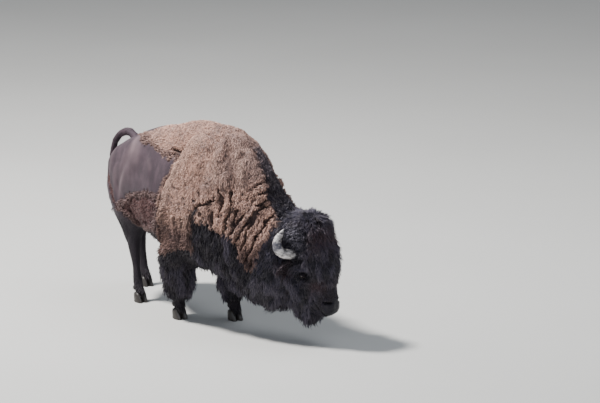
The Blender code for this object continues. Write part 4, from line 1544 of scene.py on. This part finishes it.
@dataclass(frozen=True)
class CoatFinish:
    """Skin and hair in one set of markings."""

    name: str
    on_locks: bool
    shine: float = 0.30

    def marked(self, graph: Graph, place: Value) -> Value:
        """The colour of the markings, with painted highlights and painted shade in it.

        Args:
            graph: the tree to add to.
            place: Object coordinates.

        Returns:
            The colour.
        """
        colours, mark = PALETTE, graph.attribute
        broad = graph.noise(place, 4.5, 4.0, 0.6)
        fine = graph.noise(place, 38.0, 3.0, 0.6)
        dark = graph.mix((broad * 0.6 + fine * 0.4).between(0.35, 0.65), colours.black, colours.brown)
        clumps = graph.noise(graph.scaled(place, (1.0, 1.0, 0.6)), 17.0, 3.0, 0.6)
        # Painted bluish sheen in blotches over the dark hair
        dark = graph.laid(dark, "bluish", colours.blue, clumps.between(0.40, 0.62))
        clump = mark("clump")
        # Painted highlight on the clumps of hair and the brow, painted shade between the clumps
        dark = graph.mix(clump.between(0.0, 0.8) * 0.75, dark, colours.lit)
        dark = graph.mix((clump * -1.0).between(0.0, 0.7) * 0.7, dark, colours.gap)
        dark = graph.laid(dark, "reddish", colours.red, fine.between(0.25, 0.6))
        dark = graph.laid(dark, "frizz", colours.frizz, 0.8)
        dark = graph.laid(dark, "ridge", colours.ridge, 0.5 + 0.5 * clumps.between(0.35, 0.6))
        summer = graph.mix(broad.between(0.42, 0.68), colours.summer, colours.summer_pale)
        worn = graph.noise(graph.scaled(place, (1.0, 1.0, 0.35)), 16.0, 4.0, 0.62)
        summer = graph.mix(worn.between(0.60, 0.36) * 0.42, summer, colours.shank)
        # Painted highlight where the rump's forms turn to the light
        summer = graph.laid(summer, "glossy", colours.gleam, 0.75)
        colour = graph.laid(dark, "bare", summer)
        colour = graph.laid(colour, "shank", colours.shank)
        russet = graph.mix(mark("frill") * 0.65, colours.russet, colours.frill)
        colour = graph.laid(colour, "patch", russet)
        tan = graph.mix((broad * 0.5 + fine * 0.5).between(0.36, 0.56), colours.tan_grey, colours.tan)
        tan = graph.laid(tan, "greyed", colours.tan_grey, 0.8)
        # Painted highlight on the rises of the wool's large forms, painted shade in their furrows
        relief = mark("relief")
        tan = graph.mix(relief.between(0.1, 1.0) * 0.6, tan, colours.tan_pale)
        tan = graph.mix((relief * -1.0).between(0.1, 1.0) * 0.45, tan, colours.tan_deep)
        tan = graph.laid(tan, "thin", colours.thin, 0.35 + 0.65 * fine.between(0.35, 0.6))
        tan = graph.laid(tan, "hem", colours.frill, fine.between(0.35, 0.6) * 0.6)
        # Deeper reddish tan low on the neck and skirt, partly painted shade towards the bottom
        tan = graph.laid(tan, "reddish", colours.tan_deep, 0.85)
        # Painted shade in the pits of the wool; the fine grain is darkened towards the same colour
        tan = graph.mix(self.grain(graph, place).between(0.47, 0.36) * 0.62, tan, colours.pit)
        tan = graph.laid(tan, "pit", colours.pit, 0.75)
        colour = graph.laid(colour, "wool", tan)
        colour = graph.laid(colour, "nose", colours.nose)
        # Painted shade in the head's hollows, with the dark skin round the eyes
        return graph.laid(colour, "hollow", colours.hollow)

    @staticmethod
    def grain(graph: Graph, place: Value) -> Value:
        """Fine grain of the wool, drawn out along its fall.

        Args:
            graph: the tree to add to.
            place: Object coordinates.

        Returns:
            The grain, about 0.5 on average.
        """
        parts = graph.node("ShaderNodeSeparateXYZ", None, {0: place})
        x, y, z = parts["X"], parts["Y"], parts["Z"]
        layers = []
        for lean, drawn in ((0.0, 0.42), (0.75, 0.28)):
            across = x * math.cos(lean) - z * math.sin(lean)
            down = (x * math.sin(lean) + z * math.cos(lean)) * drawn
            turned = graph.node("ShaderNodeCombineXYZ", None, {0: across, 1: y, 2: down})[0]
            layers.append(graph.noise(turned, 68.0, 2.0, 0.5))
        return layers[0] + (layers[1] - layers[0]) * graph.attribute("folded")

    def material(self) -> Material:
        """Makes the material.

        Returns:
            The finish of the skin or of the locks.
        """
        finish = Finish(
            self.name, Roughness=0.7, Specular_IOR_Level=self.shine, Specular_Tint=(0.90, 0.84, 1.0, 1.0),
            Sheen_Weight=0.03, Sheen_Roughness=0.4)
        graph = finish.graph
        place = graph.place()
        colour = self.marked(graph, place)
        colours, mark = PALETTE, graph.attribute
        bare, wool = mark("bare"), mark("wool")
        if self.on_locks:
            tone, along = mark("tone"), mark("along")
            covered = 1.0 - 0.8 * bare
            matted = 0.30 + 0.20 * wool
            colour = graph.mix((1.0 - tone).between(0.3, 1.0) * matted * covered, colour, colours.shade)
            colour = graph.mix((0.70 - along) * 0.50 * covered, colour, colours.shade)
            colour = graph.laid(colour, "bare", colours.shade, 0.05)
            long_hair = (1.0 - bare) * (1.0 - mark("shank")) * (1.0 - 0.6 * wool)
            colour = graph.mix(along * tone * tone * long_hair * 0.115, colour, colours.glint)
            # Painted shade in the cracks of the wool
            colour = graph.laid(colour, "crack", colours.crack, 0.85)
            soft = 1.0 - bare * 0.5
            finish.feed("Roughness", 0.40 + 0.46 * wool + 0.1 * soft + 0.30 * bare)
        else:
            colour = graph.mix(0.35 * (1.0 - bare) + 0.27 * wool, colour, colours.shade)
            # Painted shade in the cracks of the wool
            colour = graph.laid(colour, "crack", colours.crack, 0.8)
            strands = graph.noise(graph.scaled(place, (90.0, 150.0, 60.0)), 2.0, 3.0, 0.7)
            curls = graph.cells(place, 55.0) * 0.7 + graph.noise(place, 90.0, 3.0) * 0.5
            pebbles = graph.cells(place, 240.0) * mark("nose") * 0.5
            sleek = 1.0 - 0.62 * bare
            finish.bump(strands * (1.0 - wool) * sleek + curls * wool + pebbles, 0.004, 0.8)
            colour = graph.mix(strands.between(0.35, 0.75) * 0.30 * sleek, colour, colours.shade)
            finish.feed("Roughness", 0.72 - 0.40 * mark("nose"))
        finish.feed("Base Color", colour)
        return finish.material


@dataclass(frozen=True)
class HornFinish:
    """Pale grey weathered horn with dark scars and a dark tip."""

    grey: Colour = (0.24, 0.22, 0.215)
    pale: Colour = (0.66, 0.62, 0.61)
    scar: Colour = (0.045, 0.040, 0.048)
    fleck: Colour = (0.060, 0.058, 0.085)
    tip: Colour = (0.10, 0.09, 0.09)
    root: Colour = (0.05, 0.042, 0.036)

    def material(self) -> Material:
        """Makes the material, which reads how far along the horn each point is."""
        finish = Finish("horn_keratin", Roughness=0.42, Coat_Roughness=0.3)
        graph = finish.graph
        place = graph.place()
        along = graph.attribute("along")
        long = graph.noise(graph.scaled(place, (16.0, 16.0, 40.0)), 1.4, 4.0, 0.6)
        scars = graph.noise(place, 26.0, 4.0, 0.65)
        colour = graph.mix(long.between(0.35, 0.62), self.grey, self.pale)
        upper = 0.55 + 0.45 * along.between(0.35, 0.55)
        colour = graph.mix(scars.between(0.50, 0.58) * upper, colour, self.scar)
        belt = along.between(0.50, 0.57) * (1.0 - along.between(0.68, 0.76))
        flecks = graph.noise(place, 60.0, 3.0, 0.6)
        colour = graph.mix(belt * flecks.between(0.36, 0.46) * 0.9, colour, self.fleck)
        colour = graph.mix(along.between(0.93, 1.0) * 0.8, colour, self.tip)
        colour = graph.mix((1.0 - along).between(0.82, 1.0) * 0.8, colour, self.root)
        rings = (along * 95.0 + scars * 3.0).sine() * 0.5 + 0.5
        fade = (1.0 - along).between(0.45, 0.9)
        finish.bump(rings * fade * 0.5 + scars * 0.5, 0.0016, 0.8)
        finish.feed("Roughness", 0.62 - 0.30 * along)
        finish.feed("Base Color", colour)
        return finish.material


@dataclass(frozen=True)
class HoofFinish:
    """Near-black hoof horn, worn paler and rougher towards the sole."""

    dark: Colour = (0.012, 0.010, 0.010)
    brown: Colour = (0.040, 0.034, 0.030)
    worn: Colour = (0.065, 0.055, 0.048)

    def material(self) -> Material:
        """Makes the material."""
        finish = Finish("hoof_horn", Roughness=0.5)
        graph = finish.graph
        place = graph.place()
        height = graph.node("ShaderNodeSeparateXYZ", None, {0: place})["Z"]
        grain = graph.noise(graph.scaled(place, (60.0, 60.0, 9.0)), 2.0, 3.0, 0.6)
        worn = (0.022 - height).between(-0.01, 0.022) * grain.between(0.3, 0.6)
        colour = graph.mix(grain, self.dark, self.brown)
        colour = graph.mix(worn * 0.5, colour, self.worn)
        rings = (height * 520.0 + grain * 4.0).sine() * 0.5 + 0.5
        finish.bump(rings * 0.5 + grain * 0.6, 0.0012, 0.7)
        finish.feed("Roughness", 0.42 + 0.3 * worn)
        finish.feed("Base Color", colour)
        return finish.material


@dataclass(frozen=True)
class EyeFinish:
    """Dark wet eyeball: brown iris round a wide pupil, greyish at its rim."""

    pupil: Colour = (0.002, 0.002, 0.002)
    iris_dark: Colour = (0.016, 0.008, 0.004)
    iris_brown: Colour = (0.040, 0.020, 0.010)
    rim: Colour = (0.05, 0.04, 0.035)

    def material(self) -> Material:
        """Makes the material, which reads the angle from the middle of the pupil."""
        finish = Finish("eyeball", Roughness=0.06, Specular_IOR_Level=0.6, Coat_Weight=1.0,
                        Coat_Roughness=0.03)
        graph = finish.graph
        angle = graph.attribute("angle")
        fibres = graph.noise(graph.place(), 240.0, 2.0)
        iris = graph.mix(fibres.between(0.3, 0.7), self.iris_dark, self.iris_brown)
        colour = graph.mix(angle.between(0.30, 0.40), self.pupil, iris)
        colour = graph.mix(angle.between(0.72, 0.86), colour, self.rim)
        finish.feed("Base Color", colour)
        return finish.material


# Head pieces ----------------------------------------------------------


def revolve(rows: Array, around: int) -> list[tuple[int, ...]]:
    """Faces of a tube of rings, each ring of the given number of corners."""
    faces = []
    for ring in range(len(rows) // around - 1):
        for k in range(around):
            a, b = ring * around + k, ring * around + (k + 1) % around
            faces.append((a, b, b + around, a + around))
    return faces


def shell_faces(rows: int, columns: int) -> list[tuple[int, ...]]:
    """Faces of a thin closed shell: two layers of a grid of corners, joined round the edge.

    Args:
        rows: faces of each layer one way.
        columns: faces of each layer the other way.

    Returns:
        Corner numbers of each face.
    """
    row, layer = columns + 1, (rows + 1) * (columns + 1)
    faces = []
    for i in range(rows):
        for j in range(columns):
            a = i * row + j
            faces.append((a, a + 1, a + row + 1, a + row))
            faces.append((layer + a, layer + a + row, layer + a + row + 1, layer + a + 1))
        for start in (0, columns):
            a = i * row + start
            faces.append((a, a + row, layer + a + row, layer + a))
    for j in range(columns):
        for start in (0, rows * row):
            faces.append((start + j, layer + start + j, layer + start + j + 1, start + j + 1))
    return faces


def finished(name: str, corners: Array, faces: list, finish: Material) -> Object:
    """An object of corners and faces with its faces pointing outwards.

    Args:
        name: the piece's name.
        corners: rows of places on the body.
        faces: corner numbers of each face.
        finish: its material.

    Returns:
        The object.
    """
    mesh = bpy.data.meshes.new(name)
    mesh.from_pydata([tuple(row) for row in corners + TO_FRAME], [], faces)
    shape = bmesh.new()
    shape.from_mesh(mesh)
    bmesh.ops.recalc_face_normals(shape, faces=shape.faces)
    shape.to_mesh(mesh)
    shape.free()
    mesh.materials.append(finish)
    smooth(mesh)
    return link(name, mesh)


@dataclass
class Horns:
    """Short thick horns that leave the head sideways, turn up and end in a point."""

    finish: Material
    # down the face, out of it, to the side, radius
    line: tuple = (
        (0.034, 0.000, 0.10, 0.040), (0.030, -0.010, 0.155, 0.041), (0.012, -0.030, 0.205, 0.042),
        (-0.020, -0.045, 0.245, 0.042), (-0.062, -0.042, 0.265, 0.041), (-0.110, -0.014, 0.268, 0.036),
        (-0.150, 0.030, 0.250, 0.025), (-0.180, 0.071, 0.229, 0.005),
    )
    around: int = 32
    steps: int = 14

    def course(self) -> Array:
        """The horn's line and radius, evenly rounded between its places."""
        knots = np.array(self.line)
        padded = np.vstack([2 * knots[0] - knots[1], knots, 2 * knots[-1] - knots[-2]])
        rows = []
        for k in range(len(knots) - 1):
            p0, p1, p2, p3 = padded[k:k + 4]
            for t in np.arange(self.steps) / self.steps:
                rows.append(0.5 * (2 * p1 + (p2 - p0) * t + (2 * p0 - 5 * p1 + 4 * p2 - p3) * t**2
                                   + (3 * p1 - p0 - 3 * p2 + p3) * t**3))
        rows.append(knots[-1])
        return np.array(rows)

    def build(self, side: Side) -> Object:
        """Makes one horn, ringed and a little ridged towards its root.

        Args:
            side: the side of the head.

        Returns:
            The horn.
        """
        course = self.course()
        places = np.array([HEAD.on_side(row, side) for row in course])
        ways = unit(np.gradient(places, axis=0))
        out = np.array((0.0, 0.0, 1.0))
        angles = np.arange(self.around) / self.around * 2.0 * math.pi
        corners, share = [], []
        for index, (place, way) in enumerate(zip(places, ways)):
            out = unit((out - way * (out @ way))[None])[0]
            other = np.cross(way, out)
            t = index / (len(course) - 1)
            base = max(0.0, 1.0 - 2.2 * t)
            ridge = 1.0 + 0.035 * base * math.sin(index * 1.9) + 0.012 * math.sin(index * 0.7)
            for angle in angles:
                flute = 1.0 + 0.018 * (1.0 - t) * math.sin(9.0 * angle + 2.0 * t)
                radius = course[index, 3] * ridge * flute
                corners.append(place + (out * math.cos(angle) + other * math.sin(angle)) * radius)
                share.append(t)
        faces = revolve(np.array(corners), self.around)
        last = len(corners) - self.around
        faces.append(tuple(reversed(range(self.around))))
        corners.append(places[-1] + ways[-1] * 0.004)
        share.append(1.0)
        faces += [(last + k, last + (k + 1) % self.around, len(corners) - 1) for k in range(self.around)]
        horn = finished(f"horn_piece_{side.word}", np.array(corners), faces, self.finish)
        store(horn.data, "along", np.array(share))
        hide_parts(f"horn_{side.word}")
        return horn


@dataclass
class Eyes:
    """Eyeballs with heavy, half-closed lids."""

    finish: Material
    hide: Material
    place: tuple[float, float, float] = (0.233, 0.006, 0.168)
    radius: float = 0.0205
    cornea: float = 0.07
    lid_gap: float = 1.09
    lid_thick: float = 0.0022
    lid_rim: float = 0.0032
    lid_fold: float = 0.0016
    lid_turn: float = 1.12

    def directions(self, side: Side) -> tuple[Array, Array, Array]:
        """Out of the eye, along its slit towards the nose, and up across the slit."""
        down, front, left = HEAD.axes()
        out = unit((side.value * left + 0.32 * front - 0.05 * down)[None])[0]
        slit = 0.80 * down + 0.45 * front
        slit = unit((slit - out * (slit @ out))[None])[0]
        up = np.cross(out, slit)
        up = up if up @ (front - 0.3 * down) > 0.0 else -up
        return out, slit, up

    def ball(self, side: Side) -> Object:
        """One eyeball with a slightly raised cornea."""
        centre = HEAD.on_side(self.place, side)
        out, slit, up = self.directions(side)
        rings, around = 26, 40
        corners, angles = [], []
        for ring in range(1, rings):
            angle = math.pi * ring / rings
            radius = self.radius * (1.0 + self.cornea * math.exp(-((angle / 0.5) ** 2)))
            for k in range(around):
                turn = 2.0 * math.pi * k / around
                way = out * math.cos(angle) + (slit * math.cos(turn) + up * math.sin(turn)) * math.sin(angle)
                corners.append(centre + way * radius)
                angles.append(angle)
        faces = revolve(np.array(corners), around)
        corners += [centre + out * self.radius * (1.0 + self.cornea), centre - out * self.radius]
        angles += [0.0, math.pi]
        first, last = len(corners) - 2, (rings - 2) * around
        faces += [(first, (k + 1) % around, k) for k in range(around)]
        faces += [(first + 1, last + k, last + (k + 1) % around) for k in range(around)]
        eye = finished(f"eyeball_{side.word}", np.array(corners), faces, self.finish)
        store(eye.data, "angle", np.array(angles))
        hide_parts(f"eye_{side.word}")
        return eye

    def lid(self, side: Side, upper: bool) -> Object:
        """One lid: a thick curved fold from corner to corner of the eye.

        Args:
            side: the side of the head.
            upper: whether it is the upper lid.

        Returns:
            The lid.
        """
        centre = HEAD.on_side(self.place, side)
        out, slit, up = self.directions(side)
        edge, far = (0.04, 1.75) if upper else (-0.52, -1.75)
        across, along = 14, 26
        corners = []
        for outer in (True, False):
            for i in range(across + 1):
                for j in range(along + 1):
                    v = (j / along - 0.5) * 2.0
                    arch = (1.0 - v * v) ** 0.8
                    reach = edge * arch
                    angle = reach - 0.12 * (1.0 - arch) + (far - reach) * (i / across) ** 1.2
                    rim = self.lid_rim * math.exp(-((i - 1.5) / 1.8) ** 2)
                    fold = self.lid_fold * math.cos((i / across) * 16.0) * (1.0 - v * v)
                    radius = self.radius * self.lid_gap + (self.lid_thick + rim + fold if outer else 0.0)
                    tilt = v * self.lid_turn
                    over = out * math.cos(angle) + up * math.sin(angle)
                    way = slit * math.sin(tilt) + over * math.cos(tilt)
                    corners.append(centre + way * radius)
        faces = shell_faces(across, along)
        which = "upper" if upper else "lower"
        lid = finished(f"eyelid_{which}_{side.word}", np.array(corners), faces, self.hide)
        return lid

    def build(self, side: Side) -> list[Object]:
        """Makes one eye and its lids."""
        return [self.ball(side), self.lid(side, True), self.lid(side, False)]


@dataclass
class Ears:
    """Short cupped ears, mostly hidden in the hair behind the horns."""

    hide: Material
    root: tuple[float, float, float] = (0.095, -0.095, 0.165)
    length: float = 0.165
    width: float = 0.050
    thickness: float = 0.008
    sunk: float = 0.035

    def build(self, side: Side) -> Object:
        """Makes one ear as a rolled leaf with a rounded tip.

        Args:
            side: the side of the head.

        Returns:
            The ear.
        """
        down, front, left = HEAD.axes()
        way = unit((side.value * left * 0.80 - front * 0.50 + down * 0.33)[None])[0]
        root = HEAD.on_side(self.root, side) - way * self.sunk
        facing = down * 0.7 + front * 0.7
        open_to = unit((facing - way * (way @ facing))[None])[0]
        wide = np.cross(way, open_to)
        along, across = 22, 14
        corners = []
        for shell in (0.0, 1.0):
            for i in range(along + 1):
                t = i / along
                half = self.width * (0.5 + 1.05 * math.sin(math.pi * min(t * 1.15, 1.0) ** 0.8) * 0.5)
                half *= max(1.0 - max(t - 0.72, 0.0) ** 2 * 11.0, 0.12)
                cup = 1.9 * (1.0 - 0.65 * t)
                for j in range(across + 1):
                    angle = (j / across - 0.5) * 2.0 * cup
                    radius = half / max(math.sin(min(cup, 1.45)), 0.2)
                    middle = radius - self.thickness * shell
                    deep = radius * 0.6 - math.cos(angle) * middle
                    out = wide * math.sin(angle) * middle + open_to * deep
                    corners.append(root + way * self.length * t + out)
        faces = shell_faces(along, across)
        ear = finished(f"ear_piece_{side.word}", np.array(corners), faces, self.hide)
        store(ear.data, "reddish", np.full(len(corners), 0.6))
        store(ear.data, "ridge", np.full(len(corners), 0.45))
        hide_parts(f"ear_{side.word}")
        return ear


# Feet -----------------------------------------------------------------


@dataclass
class Hooves:
    """Claws and dew claws in their solids' own shape, rounded between their hard edges."""

    frame: dict
    finish: Material
    hard_edge: float = math.radians(50.0)

    def build(self) -> list[Object]:
        """Makes every claw.

        Returns:
            The claws.
        """
        names = [name for name in self.frame["nodes"] if name.startswith(("hoof_", "dewclaw_"))]
        return [self._claw(name) for name in names]

    def _claw(self, name: str) -> Object:
        """One claw, shaded round.

        Args:
            name: the node that it replaces.

        Returns:
            The claw.
        """
        shape = bmesh.new()
        shape.from_mesh(self.frame["nodes"][name].data)
        bmesh.ops.remove_doubles(shape, verts=shape.verts, dist=1e-5)
        for edge in shape.edges:
            edge.smooth = edge.calc_face_angle(0.0) < self.hard_edge
        mesh = bpy.data.meshes.new(f"{name}_horn")
        shape.to_mesh(mesh)
        shape.free()
        smooth(mesh)
        mesh.materials.append(self.finish)
        claw = link(f"{name}_horn", mesh)
        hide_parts(name)
        return claw


# Studio ---------------------------------------------------------------


@dataclass(frozen=True)
class Lamp:
    """One soft light: where it stands, where it aims, its size, power and colour."""

    name: str
    place: tuple[float, float, float]
    size: float
    power: float
    colour: Colour = (1.0, 1.0, 1.0)
    aim: tuple[float, float, float] = (0.0, 0.0, 0.8)

    def build(self) -> Object:
        """Makes the light."""
        data = bpy.data.lights.new(self.name, "AREA")
        data.shape = "DISK"
        data.size = self.size
        data.energy = self.power
        data.color = self.colour
        lamp = link(self.name, data)
        lamp.location = self.place
        lamp.rotation_euler = (Vector(self.aim) - Vector(self.place)).to_track_quat("-Z", "Y").to_euler()
        return lamp


@dataclass
class Studio:
    """A plain pale floor, soft light and the camera."""

    azimuth: float = 61.0
    elevation: float = 12.5
    distance: float = 30.0
    aim: tuple[float, float, float] = (0.2526, -0.1114, 0.9)
    aside: float = 0.741
    above: float = 0.164
    lens: float = 208.8
    sensor: float = 36.0

    def floor(self) -> Object:
        """A wide matt floor a hair below the soles."""
        finish = Finish("floor_matt", Roughness=0.9)
        graph = finish.graph
        cloud = graph.noise(graph.place(), 0.35, 2.0)
        finish.feed("Base Color", graph.mix(cloud, (0.41, 0.41, 0.40), (0.46, 0.46, 0.45)))
        reach, drop = 60.0, -0.001
        corners = [(x * reach, y * reach, drop) for x, y in ((-1, -1), (1, -1), (1, 1), (-1, 1))]
        mesh = bpy.data.meshes.new("floor")
        mesh.from_pydata(corners, [], [(0, 1, 2, 3)])
        mesh.materials.append(finish.material)
        floor = link("floor", mesh)
        return floor

    def light(self) -> None:
        """A key light high behind the animal and to its right, with soft fill."""
        for lamp in (
            Lamp("key", (-4.5, -5.5, 13.5), 2.0, 6800.0, (1.0, 0.975, 0.94)),
            Lamp("fill", (9.0, -7.0, 5.0), 8.0, 380.0, (0.84, 0.91, 1.0)),
            Lamp("top", (1.0, 4.0, 10.0), 7.0, 480.0, (0.90, 0.95, 1.0)),
        ):
            lamp.build()
        world = bpy.data.worlds.new("studio")
        bpy.context.scene.world = world
        world.use_nodes = True
        sky = world.node_tree.nodes["Background"].inputs
        sky["Color"].default_value = (0.80, 0.86, 0.95, 1.0)
        sky["Strength"].default_value = 0.36

    def camera(self) -> Object:
        """The camera, low and in front on the animal's right."""
        az, el = math.radians(self.azimuth), math.radians(self.elevation)
        back = Vector((math.sin(az) * math.cos(el), -math.cos(az) * math.cos(el), math.sin(el)))
        level = (-back).to_track_quat("-Z", "Y")
        right, up = level @ Vector((1.0, 0.0, 0.0)), level @ Vector((0.0, 1.0, 0.0))
        turn = (right * self.aside + up * self.above - back * self.distance).to_track_quat("-Z", "Y")
        data = bpy.data.cameras.new("camera")
        data.lens = self.lens
        data.sensor_width = self.sensor
        data.clip_end = 200.0
        camera = link("camera", data)
        camera.location = Vector(self.aim) + back * self.distance
        camera.rotation_euler = turn.to_euler()
        bpy.context.scene.camera = camera
        return camera

    def build(self) -> None:
        """Sets the studio up."""
        self.floor()
        self.light()
        self.camera()


def main() -> None:
    """Builds and dresses the animal, piece by piece."""
    logging.basicConfig(level=logging.INFO, format="%(name)s: %(message)s")
    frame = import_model()
    skin, zones = Skin(frame).build()
    hide = CoatFinish("skin_hide", on_locks=False).material()
    for name in MARKS:
        store(skin.data, name, getattr(zones, name))
    skin.data.materials.append(hide)
    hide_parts(*FLESH)
    pieces = [skin]
    body_hair = CoatFinish("coat_hair", on_locks=True).material()
    head_hair = CoatFinish("head_hair", on_locks=True, shine=0.60).material()
    coat = Coat(skin, zones, body_hair, head_hair)
    pieces += coat.grow()
    horns = Horns(HornFinish().material())
    eyes = Eyes(EyeFinish().material(), hide)
    ears = Ears(hide)
    for side in (Side.LEFT, Side.RIGHT):
        ear = ears.build(side)
        pieces += [horns.build(side), ear, coat.on_ear(ear, side), *eyes.build(side)]
    pieces += Hooves(frame, HoofFinish().material()).build()
    coat.clear()
    for piece in pieces:
        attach(piece, "root")
        piece.data.calc_loop_triangles()
        LOG.info("%s: %d triangles", piece.name, len(piece.data.loop_triangles))
    Studio().build()


if __name__ == "__main__":
    main()
